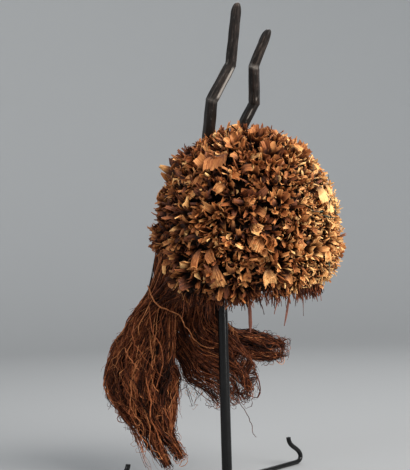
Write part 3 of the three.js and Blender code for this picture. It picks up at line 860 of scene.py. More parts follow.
# %% The blade of a leaf
def leaf_rings(root, normal, out, shape, seed, across_points, stations):
    """Rings of leaves. Across a leaf, at u from -1 to 1, the point lies at half * sin(cup u) / cup
    to the side and half * (1 - cos(cup u)) / cup forward, where half is half the width at v.
    Pleats are offsets forward and back by turns, crinkles are small random ones, and ragged tips
    are random offsets along. The UV gives millimetres across and the share along, which starts
    at ``root_unshaded`` instead of 0 on a leaf that gets no painted shade at its root."""
    random = np.random.default_rng(seed)
    count, v = len(root), np.linspace(0, 1, stations) ** 0.92
    middle, along, side, front = leaf_frames(root, normal, out, shape, v)
    row = np.linspace(1, -1, across_points + 1)
    pick = np.concatenate([np.arange(across_points + 1), np.arange(across_points - 1, 0, -1)])
    thick = np.concatenate([[0], np.ones(across_points - 1), [0], -np.ones(across_points - 1)])
    broad = blend(0.4, 1, ease(0, 0.55, v))[None, :] * blend(
        1, shape["tip"][:, None], ease(0.55, 1, v)[None, :]
    )
    half = (shape["width"][:, None] / 2 * broad)[..., None]
    cup = (shape["cup"][:, None] * blend(0.5, 1, v)[None, :])[..., None]
    sideways = half * np.sin(cup * row) / cup
    forward = half * (1 - np.cos(cup * row)) / cup
    crinkle = random.normal(0, 1, (count, len(v), len(row))) * shape["crinkle"][:, None, None]
    pleats = shape["pleat"][:, None, None] * np.cos(math.pi * np.arange(len(row)))
    forward = forward + (crinkle * half + pleats) * np.minimum(1, 3 * v)[None, :, None]
    tear = random.uniform(-1, 1, (count, len(row))) * shape["ragged"][:, None]
    lengthwise = np.zeros_like(forward)
    lengthwise[:, -1] = tear * shape["length"][:, None]
    lengthwise[:, -2] = 0.3 * tear * shape["length"][:, None]
    thickness = LEAF_THICKNESS / 2 * blend(1.5, 0.8, v)[None, :, None]
    rings = (
        middle[:, :, None]
        + sideways[..., pick, None] * side[:, :, None]
        + (forward[..., pick] + thick * thickness)[..., None] * front[:, :, None]
        + lengthwise[..., pick, None] * along[:, :, None]
    )
    millimetres = shape["width"][:, None, None] / MM / 2 * row[pick]
    root_unshaded = shape["root_unshaded"][:, None, None]
    uv = np.stack(np.broadcast_arrays(millimetres, root_unshaded + (1 - root_unshaded) * v[None, :, None]), -1)
    return rings, uv


print("a leaf's blade is closed at its edges")

# %% [markdown]
# The colour of a leaf comes from one number, its tone, that the mesh holds: from red-brown through
# tan to straw. Dark fibres run along it. Its root is painted nearly black as painted shade, and it
# grows paler towards its tip, partly as dry leaf and partly as painted shade on its lower part. The
# same fibres give the bumps.


# %% The leaf's finish
def dry_leaf():
    """Colour from tone + fibres + stains + the share along, times painted shade at the root. The
    share along is partly dry leaf and partly painted shade.
    """
    finish = Finish("dry_leaf", roughness=0.62, specular=0.3)
    across, down = finish.along()
    tone = finish.value("tone")
    fibres = finish.noise(finish.vector(across * 0.75, down * 1.3, tone * 90.0), 1.0, 3.0, 0.7)
    stain = finish.noise(finish.place(), 170.0, 3.0)
    # The share along makes the tip paler and the root darker: partly dry leaf, partly painted
    # shade.
    level = tone + (fibres - 0.5) * 1.1 + (stain - 0.5) * 0.25 + (down - 0.6) * 0.34
    colour = finish.ramp(level, [
        (0.00, (0.024, 0.007, 0.003)),
        (0.28, (0.130, 0.033, 0.010)),
        (0.52, (0.345, 0.108, 0.029)),
        (0.76, (0.610, 0.248, 0.076)),
        (1.00, (0.880, 0.520, 0.205)),
    ])
    # Painted shade: the root of each leaf is darkened nearly to black, fading out by three quarters
    # of its length.
    shade = finish.ramp(down + (stain - 0.5) * 0.2, [
        (0.17, (0.03, 0.02, 0.015)), (0.51, (0.16, 0.115, 0.095)), (0.77, (1.0, 1.0, 1.0)),
    ])
    finish.set("Base Color", finish.mixed(1.0, colour, shade, "MULTIPLY"))
    finish.relief(fibres, 0.55, 0.0006)
    return finish


leaf_finish = dry_leaf()
print("leaf finish of", len(leaf_finish.tree.nodes), "nodes")

# %% [markdown]
# The leaves aren't alike all over the hood. On the right they are smaller, finer and paler, at the
# lower left and on the rim they are dark and reddish, and on the crown they are short. Painting
# such changes by hand would take long, so tone and size are worked out from each leaf's place. No
# leaf is tied where a horn stands or where the beard covers the cheek.

# %% Where the leaves differ
def zones(place):
    """How far right and up each place lies from the hood's centre, each from -1 to 1."""
    away = unit(place - HOOD_CENTRE)
    return away @ ACROSS, away @ UP


def leaf_tone(place, random):
    """Tone by place: a sum of eases. It is paler to the right and palest at the right edge, and
    darker at the lower left and on the rim."""
    right, up = zones(place)
    tone = 0.37 + 0.36 * ease(0.1, 0.75, right)
    tone = tone - 0.02 * ease(0.1, 0.9, -right) * ease(0.5, -0.3, up)
    tone = tone + 0.05 * ease(-0.1, -0.45, up) - 0.03 * ease(0.2, 0.6, -right)
    tone = tone + 0.2 * ease(0.68, 0.9, right) * ease(-0.1, 0.15, up) * ease(0.65, 0.45, up)
    tone = tone - 0.26 * ease(-0.5, -0.66, up)
    return tone + 0.07 * random.standard_normal(len(place))


def leaf_size(place, down):
    """Size by place: largest in the middle of the view, finest at the right, and smaller at the
    upper left, at the rim and on the crown."""
    right, up = zones(place)
    size = 1.06 - 0.2 * ease(0.15, 0.7, right) - 0.1 * ease(0.3, 0.9, -right)
    size = size - 0.2 * ease(0.6, 0.9, -right) * ease(-0.1, 0.15, up)
    return size * (1 - 0.2 * ease(0.84, 0.98, down)) * (1 - 0.16 * ease(0.7, 0.95, up))


BEARD_TURN = (-96, -19)
BEARD_TOP = 372 * MM
HORN_CLEARANCE = 13 * MM
LOW_HORN_POINTS = 60


def room_for_leaves(place, turn):
    """Where nothing is in a leaf's way: clear of the horns, and of the cheek that the beard's
    fibres cover."""
    line = np.concatenate([points[:LOW_HORN_POINTS] for points in horn_lines])
    from_horn = np.linalg.norm(place[:, None] - line[None], axis=-1).min(axis=1)
    degrees = (np.degrees(turn) + 180) % 360 - 180
    on_cheek = (degrees > BEARD_TURN[0]) & (degrees < BEARD_TURN[1]) & (place[:, 2] < BEARD_TOP)
    return (from_horn > HORN_CLEARANCE) & ~on_cheek


print("no leaf below", BEARD_TOP, "m between", BEARD_TURN, "degrees")

# %% [markdown]
# The leaves are tied on in tufts. In each tuft the outer leaves lie back and the inner ones stand
# nearly upright round a dark hollow. Two leaves in five are rolled nearly into a tube, one in five
# is pointed, and one in eight is straw-pale, which gives the hood its sparkle.

# %% Tufts
TUFT_COUNT = 640
LEAVES_PER_TUFT = 9
OUTER_LEAVES = 5
USUAL_WIDTH = 7.2
WIDEST = 14
ROOT_DEPTH = 3 * MM


def tufts(seed):
    """Roots, directions and shapes of the leaves of every tuft. Its axis is the hood's normal,
    tilted at random and downwards near the rim, and its leaves stand in two rings round it."""
    random = np.random.default_rng(seed)
    down, turn = even_places(TUFT_COUNT, seed)
    place, normal, around, downward = hood_axes(down, turn)
    tilt = random.normal(0, 0.3, (TUFT_COUNT, 2))
    tilt[:, 1] += 0.1 + 0.35 * ease(0.86, 0.98, down)
    axis = unit(normal + tilt[:, :1] * around + tilt[:, 1:] * downward)
    first = unit(np.cross(axis, downward))
    second = np.cross(axis, first)
    fine = ease(0.2, 0.65, zones(place)[0])
    size = leaf_size(place, down) * np.exp(random.normal(0, 0.17, TUFT_COUNT) * (1 - 0.5 * fine))
    total = TUFT_COUNT * LEAVES_PER_TUFT
    tuft = np.repeat(np.arange(TUFT_COUNT), LEAVES_PER_TUFT)
    slot = np.tile(np.arange(LEAVES_PER_TUFT), TUFT_COUNT)
    outer = slot < OUTER_LEAVES
    inner_leaves = LEAVES_PER_TUFT - OUTER_LEAVES
    ring = np.where(outer, slot / OUTER_LEAVES, (slot + 0.5 - OUTER_LEAVES) / inner_leaves)
    swing = 2 * math.pi * (ring + random.random(TUFT_COUNT)[tuft]) + random.normal(0, 0.3, total)
    out = np.cos(swing)[:, None] * first[tuft] + np.sin(swing)[:, None] * second[tuft]
    scale = size[tuft]
    fine = fine[tuft]
    start = np.where(outer, 4.0, 1.6) * MM * scale

    def between(low, high):
        return random.uniform(low, high, total)

    pointed = random.random(total) < 0.2
    laid_back = outer & (random.random(total) < 0.3 + 0.35 * fine)
    rolled = random.random(total) < 0.42
    width = np.exp(random.normal(math.log(USUAL_WIDTH), 0.38, total)) * (1 - 0.35 * fine)
    shape = {
        "length": np.where(outer, blend(between(20, 30), 24, 0.6 * fine),
                           blend(between(15, 25), 21, 0.6 * fine)) * MM * scale,
        "width": np.minimum(width, WIDEST) * MM * scale,
        "lean": np.where(outer, between(0.1, 0.5), between(-0.1, 0.25)),
        "curl": np.where(laid_back, between(1.1, 2.2), np.where(outer, between(0.5, 1.2),
                                                                between(-0.1, 0.8))),
        "bend": between(1.0, 2.4),
        "cup": np.where(rolled, between(1.5, 2.5), between(0.3, 1.4))
        * np.where(random.random(total) < 0.8, 1, -1),
        "twist": random.normal(0, 0.45, total),
        "tip": np.where(pointed, between(0.15, 0.4), between(0.6, 1.15)),
        "crinkle": between(0.03, 0.14),
        "ragged": np.where(pointed, 0.03, between(0.03, 0.12)),
    }
    tone = leaf_tone(place, random)[tuft] + random.normal(0, 0.18, total)
    tone = tone + np.where(random.random(total) < 0.12, 0.36, 0)
    root = place[tuft] - ROOT_DEPTH * normal[tuft] + start[:, None] * out
    return root, axis[tuft], out, shape, tone, turn[tuft]


print(TUFT_COUNT, "tufts of", LEAVES_PER_TUFT, "leaves")

# %% [markdown]
# Shavings of leaf fill the gaps between the tufts. They are single narrow strips that lean every
# way, and under them lie short ones whose tone is darkened as painted shade in the gaps. They keep
# the cap from showing, as the real ones do.

# %% Shavings between the tufts
SHAVING_PLACES = 5600


def shavings(seed):
    """Narrow single pieces of leaf, leaning any way, and closest together at the right. Nearly
    half are short and lie low, and their tone is darkened as painted shade, less so at the right."""
    random = np.random.default_rng(seed)
    down, turn = even_places(SHAVING_PLACES, seed)
    right, _ = zones(hood_skin(down, turn))
    chosen = random.random(SHAVING_PLACES) < 0.42 + 0.5 * ease(0.1, 0.7, right)
    down, turn = down[chosen], turn[chosen]
    place, normal, around, downward = hood_axes(down, turn)
    count = len(down)

    def between(low, high):
        return random.uniform(low, high, count)

    swing = between(0, 2 * math.pi)
    out = np.cos(swing)[:, None] * around + np.sin(swing)[:, None] * downward
    scale = leaf_size(place, down)
    low = random.random(count) < 0.42
    fine = ease(0.1, 0.6, right[chosen])
    shape = {
        "length": np.where(low, between(10, 18), blend(between(15, 26), between(14, 22), fine))
        * MM * scale,
        "width": np.where(low, between(4, 9), between(1.4, 4.6)) * MM * scale,
        "lean": np.where(low, between(0.6, 1.4), blend(between(0.0, 0.7), between(0.2, 1.0), fine)),
        "curl": np.where(low, between(0.9, 1.9), blend(between(0.1, 1.6), between(1.0, 2.5), fine)),
        "bend": between(0.8, 2.4),
        "cup": between(0.5, 2.2) * np.where(random.random(count) < 0.5, 1, -1),
        "twist": random.normal(0, 0.9, count),
        "tip": between(0.1, 1.0),
        "crinkle": between(0.03, 0.1),
        "ragged": between(0.02, 0.12),
    }
    tone = leaf_tone(place, random) + random.normal(0, 0.15, count)
    # Painted shade: the low shavings are darkened, least at the right.
    tone = tone - np.where(low, blend(0.3, 0.1, fine), 0)
    return place - ROOT_DEPTH * normal, normal, out, shape, tone, turn


print("shavings from", SHAVING_PLACES, "places")

# %% [markdown]
# Some large leaves keep their full width and show their ribs. The ones that catch the eye are put
# in one by one, each at its place as seen from behind the mask's left shoulder. Others like them
# are scattered over the sides out of view. To put a leaf where it is seen, the hood's surface is
# searched for the point that lies nearest to that place in the view.

# %% Places in the view
LEAF_DEPTH = 17 * MM
ROWS_SEARCHED, COLUMNS_SEARCHED = 220, 440


def nearest_on_hood(across, height):
    """``down`` and ``turn`` of the hood's near side where the leaves' tips, LEAF_DEPTH above its
    skin, are seen at a place of the view, by measuring a fine grid of the surface."""
    down, turn = np.meshgrid(
        np.linspace(0.05, 1, ROWS_SEARCHED), np.linspace(0, 2 * math.pi, COLUMNS_SEARCHED),
    )
    place, normal, _, _ = hood_axes(down.ravel(), turn.ravel())
    place = place + LEAF_DEPTH * normal
    off = (place @ ACROSS - across * MM) ** 2 + (place[:, 2] - height * MM) ** 2
    best = np.argmin(off + (normal @ DEEP > 0))
    return down.ravel()[best], turn.ravel()[best]


def placed(chosen, scattered, seed):
    """``down`` and ``turn`` of chosen places of the view, and then of scattered ones out of it."""
    spots = np.array([nearest_on_hood(across, height) for across, height in chosen[:, :2]])
    down, turn = even_places(scattered, seed, 0.3)
    unseen = (hood_axes(down, turn)[1] @ DEEP > 0.1) & (down < 0.82)
    return np.concatenate([spots[:, 0], down[unseen]]), np.concatenate([spots[:, 1], turn[unseen]])


print("the view's middle is seen at", np.round(nearest_on_hood(0, 400), 2))

# %% [markdown]
# A large leaf is anchored above the tufts' feet, with its root under them, and its middle lies
# back over their tips. It is pleated, where the others are only crinkled: the pleats are its ribs.

# %% Large leaves
LARGE_LEAVES = (
    # across, height, width and length, tone, and the lean of its tip from straight down
    (0, 487, 40, 30, 0.46, 6),
    (-7, 328, 24, 35, 0.62, 12),
    (-35, 350, 13, 34, 0.46, -8),
    (-16, 356, 18, 22, 0.56, 30),
    (47, 393, 17, 18, 0.84, 60),
    (50, 372, 20, 24, 0.62, -25),
    (69, 375, 17, 21, 0.66, 25),
    (66, 324, 20, 22, 0.82, 10),
    (59, 444, 10, 20, 0.86, -5),
    (40, 433, 14, 18, 0.74, 65),
    (108, 507, 17, 27, 0.76, 5),
    (20, 550, 12, 24, 0.74, 175),
    (-80, 342, 13, 26, 0.80, 0),
    (-81, 366, 14, 15, 0.66, 10),
    (-1, 453, 17, 20, 0.72, -55),
    (-26, 445, 17, 18, 0.60, 60),
    (-45, 448, 13, 17, 0.74, 40),
    (-46, 470, 15, 20, 0.74, 10),
    (34, 325, 12, 16, 0.66, -10),
    (20, 470, 14, 18, 0.58, 60),
    (-32, 468, 18, 20, 0.56, -20),
    (148, 440, 24, 26, 0.98, 20),
    (160, 422, 15, 20, 1.00, -20),
    (163, 452, 12, 18, 0.98, 20),
    (140, 484, 10, 18, 0.94, 0),
    (154, 353, 15, 22, 0.84, 10),
)
SCATTERED_LARGE = 44


def large_leaves(seed):
    """Wide ribbed leaves that lie back over the tufts: the chosen ones and the scattered ones."""
    random = np.random.default_rng(seed)
    chosen = np.array(LARGE_LEAVES, float)
    down, turn = placed(chosen, SCATTERED_LARGE, seed)
    many = len(down) - len(chosen)
    width = np.concatenate([chosen[:, 2], random.uniform(12, 24, many)])
    length = np.concatenate([chosen[:, 3], random.uniform(20, 32, many)])
    tone = np.concatenate([chosen[:, 4], random.uniform(0.4, 0.7, many)])
    lean = np.radians(np.concatenate([chosen[:, 5], random.uniform(-60, 60, many)]))
    place, normal, around, downward = hood_axes(down, turn)
    out = np.cos(lean)[:, None] * downward + np.sin(lean)[:, None] * around
    count = len(down)
    shape = {
        "length": length * MM,
        "width": width * MM,
        "lean": random.uniform(0.3, 0.6, count),
        "curl": random.uniform(1.5, 2.0, count),
        "bend": random.uniform(0.45, 0.8, count),
        "cup": random.uniform(0.5, 1.0, count) * np.where(random.random(count) < 0.7, -1, 1),
        "twist": random.normal(0, 0.12, count),
        "tip": random.uniform(0.75, 1.1, count),
        "crinkle": random.uniform(0.02, 0.05, count),
        "pleat": 0.5 * MM,
        # Its share along starts at 0.5, which leaves off the painted shade at the root.
        "root_unshaded": 0.5,
        "ragged": random.uniform(0.05, 0.12, count),
    }
    lift = (7 + 0.3 * width) * MM
    root = place + lift[:, None] * normal - (0.45 * length * MM)[:, None] * out
    return root, normal, out, shape, tone, turn


print(len(LARGE_LEAVES), "large leaves by hand and", SCATTERED_LARGE, "scattered")

# %% [markdown]
# Here and there one tuft is opened out like a flower: broad leaves stand in a ring and cup a dark
# hollow. The clearest of them are put where they are seen. The other leaves keep clear of the
# hollows, which would otherwise fill up.

# %% Open whorls
WHORLS = (
    # across, height, radius and tone
    (27, 517, 8, 0.50),
    (75, 499, 10, 0.38),
    (81, 429, 8, 0.56),
    (57, 532, 8, 0.40),
    (122, 506, 9, 0.50),
    (132, 359, 7, 0.76),
    (-29, 409, 7, 0.44),
)
SCATTERED_WHORLS = 32
LEAVES_PER_WHORL = 9
SCATTERED_RADIUS = 8.0
WHORL_SEED = 29
whorl_down, whorl_turn = placed(np.array(WHORLS, float), SCATTERED_WHORLS, WHORL_SEED)
whorl_places = hood_skin(whorl_down, whorl_turn)
whorl_radii = np.full(len(whorl_down), SCATTERED_RADIUS)
whorl_radii[:len(WHORLS)] = [radius for _, _, radius, _ in WHORLS]


def whorls(seed):
    """Rings of leaves that stand nearly upright, each cupped round the hollow in the middle."""
    random = np.random.default_rng(seed)
    total = len(whorl_down) * LEAVES_PER_WHORL
    whorl = np.repeat(np.arange(len(whorl_down)), LEAVES_PER_WHORL)
    slot = np.tile(np.arange(LEAVES_PER_WHORL), len(whorl_down))
    place, normal, around, downward = (axes[whorl] for axes in hood_axes(whorl_down, whorl_turn))
    tone = np.concatenate([[tone for _, _, _, tone in WHORLS],
                           random.uniform(0.35, 0.6, len(whorl_down) - len(WHORLS))])
    swing = 2 * math.pi * (slot + random.uniform(-0.25, 0.25, total)) / LEAVES_PER_WHORL
    out = np.cos(swing)[:, None] * around + np.sin(swing)[:, None] * downward
    scale = leaf_size(place, whorl_down[whorl])
    shape = {
        "length": random.uniform(25, 32, total) * MM * scale,
        "width": random.uniform(1.2, 1.7, total) * whorl_radii[whorl] * MM,
        "lean": random.uniform(-0.1, 0.3, total),
        "curl": random.uniform(0.3, 1.3, total),
        "bend": random.uniform(1.5, 2.6, total),
        "cup": random.uniform(0.7, 1.5, total),
        "twist": random.normal(0, 0.2, total),
        "tip": random.uniform(0.6, 1.05, total),
        "crinkle": random.uniform(0.03, 0.1, total),
        "ragged": random.uniform(0.04, 0.12, total),
    }
    root = place - ROOT_DEPTH * normal + (whorl_radii[whorl] * MM)[:, None] * out
    return root, normal, out, shape, tone[whorl] + random.normal(0, 0.12, total), whorl_turn[whorl]


def clear_of_whorls(root):
    """Which roots stand clear of every whorl's hollow, by 2 mm more than its radius."""
    off = np.linalg.norm(root[:, None] - whorl_places[None], axis=-1)
    return (off > (whorl_radii + 2) * MM).all(axis=1)


print(len(WHORLS), "whorls by hand of", len(whorl_down))

# %% [markdown]
# All the leaves would make one mesh of over 400,000 triangles, which is slow to edit and to export.
# They are parted into the hood's four quarters, one piece each, by the angle of their roots.

# %% The leaves, in four quarters
QUARTERS = ("left", "back", "right", "front")
LEAF_KINDS = (
    # maker, seed, strips across and stations along
    (tufts, 21, 3, 5),
    (shavings, 35, 2, 5),
    (large_leaves, 47, 14, 9),
    (whorls, 59, 3, 5),
)
UNPLEATED = {"pleat": 0.0, "root_unshaded": 0.0}


def leaf_shapes(maker, seed, across_points, stations):
    """One kind of leaf: the rings, UV and tone of each, and the quarter of the hood it is in."""
    root, normal, out, shape, tone, turn = maker(seed)
    stay = room_for_leaves(root, turn)
    if maker in (tufts, shavings):
        stay &= clear_of_whorls(root)
    shape = {**UNPLEATED, **shape}
    kept = {key: np.broadcast_to(value, len(root))[stay] for key, value in shape.items()}
    rings, uv = leaf_rings(root[stay], normal[stay], out[stay], kept, seed, across_points, stations)
    quarter = np.floor((np.degrees(turn[stay]) + 45) % 360 / 90).astype(int)
    return rings, uv, tone[stay], quarter


kinds = [leaf_shapes(*kind) for kind in LEAF_KINDS]
for index, name in enumerate(QUARTERS):
    here = [(rings[q == index], uv[q == index], tone[q == index]) for rings, uv, tone, q in kinds]
    quarter = gathered([skin(rings) for rings, _, _ in here])
    quarter_uv = np.concatenate([uv.reshape(-1, 2) for _, uv, _ in here])
    tones = np.concatenate([per_point(tone, rings) for rings, _, tone in here])
    add_piece("leaves_" + name, quarter, leaf_finish, ["leaf_tufts"],
              quarter_uv, {"tone": tones})

# %% [markdown]
# The beard is raw bast: the fibres under a tree's bark, pulled off, softened and tied on in three
# hanks. A particle system could grow such hair, but its hairs would be lost when the model is
# exported, and these fibres bend, loop and clump in ways that need deciding. So each fibre gets a
# line of its own, and a hank says where those lines run. A hank is a row of stations, each with a
# half width and a half depth, and a fibre follows it at its own share of both.

# %% Hanks
# Each station: millimetres across, deep and up, then half the width and half the depth. The root
# faces out of the rim by an angle about Z, and its width is shifted and scaled by the other two.
LONG_HANK = {
    "root_faces": 296,
    "root_shift": 0,
    "root_width": 1,
    "line": [
        [-60, 12, 332, 15, 8], [-74, 13, 311, 20, 10], [-96, 19, 287, 28, 20],
        [-109, 29, 256, 35, 26], [-117, 37, 224, 43, 30], [-128, 43, 193, 53, 32],
        [-130, 47, 161, 61, 33], [-124, 49, 128, 54, 30], [-118, 47, 99, 41, 25],
        [-112, 44, 66, 29, 18], [-92, 40, 24, 26, 12],
    ],
}
MIDDLE_HANK = {
    "root_faces": 264,
    "root_shift": 0.25,
    "root_width": 1.35,
    "line": [
        [-36, 45, 330, 19, 8], [-36, 47, 304, 21, 9], [-36, 54, 274, 30, 14],
        [-34, 60, 245, 42, 21], [-27, 64, 215, 50, 25], [-16, 67, 185, 56, 27],
        [-7, 69, 155, 59, 26], [-4, 70, 116, 47, 18],
    ],
}
SIDE_HANK = {
    "root_faces": 233,
    "root_shift": 1.0,
    "root_width": 0.45,
    "line": [
        [8, 66, 330, 12, 8], [8, 69, 304, 13, 9], [8, 84, 272, 16, 12],
        [11, 96, 244, 20, 14], [24, 102, 219, 24, 17], [48, 104, 204, 25, 18],
        [76, 103, 198, 21, 15], [100, 102, 196, 12, 9],
    ],
}
FREE_FACES = 225
RIM_SHARES = (0.32, 0.68)
RIM_STATIONS = (1, 3.5)


def through(stations, share):
    """A smooth line through stations, at shares from 0 to 1. Between stations b and c with
    neighbours a and d it is (2b + (c-a)f + (2a-5b+4c-d)f^2 + (3b-a-3c+d)f^3) / 2."""
    stations = np.asarray(stations, float)
    padded = np.concatenate([
        [2 * stations[0] - stations[1]], stations, [2 * stations[-1] - stations[-2]],
    ])
    spot = np.clip(share, 0, 1) * (len(stations) - 1)
    index = np.minimum(spot.astype(int), len(stations) - 2)
    f = (spot - index)[..., None]
    a, b, c, d = (padded[index + i] for i in range(4))
    return (2 * b + (c - a) * f + (2 * a - 5 * b + 4 * c - d) * f**2
            + (3 * b - a - 3 * c + d) * f**3) / 2


def in_hank(hank, share, wide_share, deep_share):
    """The place at a share of a hank's length, and from -1 to 1 over its width and its depth:
    middle + wide_share * half width * wide + deep_share * half depth * deep. Over RIM_SHARES the
    width goes from the root's scale and shift to its own, and over RIM_STATIONS the hank's flat
    turns from facing out of the rim to the deep way, where it hangs free."""
    line = hank["line"]

    def middle(t):
        five = through(line, t)
        return at(five[..., 0], five[..., 1], five[..., 2])

    free = ease(*RIM_SHARES, share)
    wide_share = wide_share * blend(hank["root_width"], 1, free) + hank["root_shift"] * (1 - free)
    halves = through(line, share)[..., 3:] * MM
    along = unit(middle(np.minimum(share + 0.01, 1)) - middle(np.maximum(share - 0.01, 0)))
    turned = ease(*RIM_STATIONS, share * (len(line) - 1))
    angle = np.radians(blend(hank["root_faces"], FREE_FACES, turned))
    deep = np.stack([np.cos(angle), np.sin(angle), 0 * angle], -1)
    wide = unit(np.cross(deep, along))
    return (middle(share) + (wide_share * halves[..., 0])[..., None] * wide
            + (deep_share * halves[..., 1])[..., None] * deep)


for name, hank in (("long", LONG_HANK), ("middle", MIDDLE_HANK), ("side", SIDE_HANK)):
    print("the", name, "hank has", len(hank["line"]), "stations")

# %% [markdown]
# A bast fibre is a flat, twisted ribbon rather than a round hair. Three sides are enough to show
# that, and keep nearly four thousand fibres within what a mesh should hold. The families of one
# piece are made together, and each fibre brings its tone and how far along it a point lies.

# %% Strands
STRAND_CORNERS = 3
BROAD, THIN = 1.45, 0.7
NO_EDGES = 180


def strands(lines, radius, seed):
    """Flattened three-sided tubes about many lines (bodies, stations, 3), which twist as bast
    does and get thinner towards both ends. At angle t the section is BROAD * radius * cos(t)
    wide and THIN * radius * sin(t) thick."""
    random = np.random.default_rng(seed)
    count, stations, _ = lines.shape
    along = unit(np.gradient(lines, axis=1))
    lean = unit(DEEP + 0.6 * random.standard_normal((count, 1, 3)))
    deep = unit(lean - (along * lean).sum(-1, keepdims=True) * along)
    wide = np.cross(deep, along)
    v = np.linspace(0, 1, stations)
    twist = random.uniform(0, 2 * math.pi, count)[:, None] + random.normal(0, 5, count)[:, None] * v
    cosine, sine = np.cos(twist)[..., None], np.sin(twist)[..., None]
    flat, thin = wide * cosine + deep * sine, deep * cosine - wide * sine
    thick = (radius[:, None] * (0.3 + 0.7 * np.sin(math.pi * (0.14 + 0.8 * v)) ** 0.7))[:, :, None]
    angle = np.arange(STRAND_CORNERS) * 2 * math.pi / STRAND_CORNERS
    return (
        lines[:, :, None]
        + (BROAD * thick * np.cos(angle))[..., None] * flat[:, :, None]
        + (THIN * thick * np.sin(angle))[..., None] * thin[:, :, None]
    )


def add_fibres(name, families, seed, stands_for, finish):
    """One piece of several families of fibres, each (lines, radius, tone). The UV gives the share
    round and the metres along."""
    skins, uvs, tones = [], [], []
    for lines, radius, tone in families:
        rings = strands(lines, radius, seed)
        length = np.linalg.norm(np.diff(lines, axis=1), axis=-1).sum(axis=1)
        run = np.linspace(0, 1, lines.shape[1])[None, :, None] * length[:, None, None]
        side = np.arange(STRAND_CORNERS)[None, None, :] / STRAND_CORNERS
        skins.append(skin(rings))
        uvs.append(np.stack(np.broadcast_arrays(side, run), -1).reshape(-1, 2))
        tones.append(per_point(tone, rings))
    values = {"tone": np.concatenate(tones)}
    add_piece(name, gathered(skins), finish, stands_for, np.concatenate(uvs), values,
              NO_EDGES)


print("a fibre has", STRAND_CORNERS, "sides")

# %% [markdown]
# No fibre is straight. A slow drift carries it off its way, a finer one makes it frizzy, and some
# fibres end in a loop, because the hanks were folded like skeins before they were tied on.

# %% Drift, frizz and loops
LOOP_ROUNDS = (0.6, 1.1)
LOOP_FROM, LOOP_SHARE = 0.8, 0.2
MOVES_UNTIL = 0.82


def drift(count, stations, waves, random):
    """A smooth wandering from -1 to 1 for each of ``count`` lines: sines of ``waves`` and twice
    as many waves over the whole line, each starting anywhere. Two of the four starts drawn for
    a line are left over."""
    v = np.linspace(0, 1, stations)[None, :]
    slow, quick, _, _ = random.uniform(0, 2 * math.pi, (count, 4)).T[..., None]
    pace = waves * random.uniform(0.7, 1.3, (count, 1)) * 2 * math.pi
    return (np.sin(pace * v + slow) + 0.5 * np.sin(2 * pace * v + quick)) / 1.5


def frizz(lines, size, waves, random):
    """Lines with a finer drift of ``size`` metres added to them, none at their roots."""
    count, stations, _ = lines.shape
    shake = np.stack([drift(count, stations, waves, random) for _ in range(3)], -1)
    v = np.linspace(0, 1, stations)[None, :, None]
    return lines + np.reshape(size, (-1, 1, 1)) * ease(0, 0.2, v) * shake


def looped(lines, chosen, random):
    """Some lines end in a loop. Over the last LOOP_SHARE, where such a line hardly moves on, it
    is carried round by radius * (1 - cos(w)) one way and radius * sin(w) the other."""
    count, stations, _ = lines.shape
    v = np.linspace(0, 1, stations)[None, :]
    rounds = random.uniform(*LOOP_ROUNDS, (count, 1))
    w = (rounds * 2 * math.pi * np.maximum(0, (v - LOOP_FROM) / LOOP_SHARE))[..., None]
    lean = random.uniform(0, 2 * math.pi, (count, 1, 1))
    first = np.cos(lean) * ACROSS + np.sin(lean) * UP + 0.4 * DEEP * np.cos(3 * lean)
    second = np.cos(lean) * UP - np.sin(lean) * ACROSS
    radius = (random.uniform(2.5, 6.5, count) * MM * chosen)[:, None, None]
    return lines + radius * ((1 - np.cos(w)) * first + np.sin(w) * second)


print("a loop has from", LOOP_ROUNDS[0], "to", LOOP_ROUNDS[1], "rounds")

# %% [markdown]
# Raw bast is red-brown and matt. As on the leaves, one number per fibre sets its tone, and the
# fibres inside each hank get a dark one as painted shade. Patches run over fibre after fibre, and
# short knots along each fibre change its colour and its bumps.


# %% The fibre's finish
def raw_bast():
    """Colour from tone + patches + knots, and bumps from the knots."""
    finish = Finish("raw_bast", roughness=0.6, specular=0.15)
    _, run = finish.along()
    tone = finish.value("tone")
    patches = finish.noise(finish.place(), 120.0, 3.0)
    knots = finish.noise(finish.vector(run * 260.0, tone * 50.0), 1.0, 2.0)
    level = tone + (patches - 0.5) * 0.6 + (knots - 0.5) * 0.5
    finish.set("Base Color", finish.ramp(level, [
        (0.05, (0.012, 0.004, 0.002)), (0.30, (0.075, 0.019, 0.008)),
        (0.58, (0.290, 0.080, 0.028)), (1.00, (0.720, 0.290, 0.110)),
    ]))
    finish.relief(knots, 0.3, 0.0003)
    return finish


bast = raw_bast()
print("fibre finish of", len(bast.tree.nodes), "nodes")

# %% [markdown]
# Fibres clump. Each belongs to a lock, and the fibres of a lock wind round its middle like the
# yarns of a loose rope. The locks wind round the hank too, some one way and some the other, so they
# cross and the beard looks tangled. The mass inside is given a dark, even tone as painted shade.
# The ropes on the surface are lighter and tighter, and single wisps run over them at all angles.

# %% Locks of fibres
INSIDE = {"stations": 20, "spread": 0.16, "turns": 1.0, "winding": 0.5, "wander": 0.2,
          "level": (0, 0.82), "frizz": 1.6, "loops": 0}
ROPES = {"stations": 36, "spread": 0.045, "turns": 1.6, "winding": 0.9, "wander": 0.14,
         "level": (0.86, 1.02), "frizz": 1.25, "loops": 0.2}
WISPS = {"stations": 36, "spread": 0.02, "turns": 1.0, "winding": 1.7, "wander": 0.3,
         "level": (0.85, 1.03), "frizz": 2.4, "loops": 0.35}


def held_in(wide, deep):
    """Draws places in so that none lies far outside the hank's oval: a reach r from its middle
    becomes r / (1 + (r/1.1)^6)^(1/6)."""
    shrink = (1 + (np.hypot(wide, deep) / 1.1) ** 6) ** (-1 / 6)
    return wide * shrink, deep * shrink


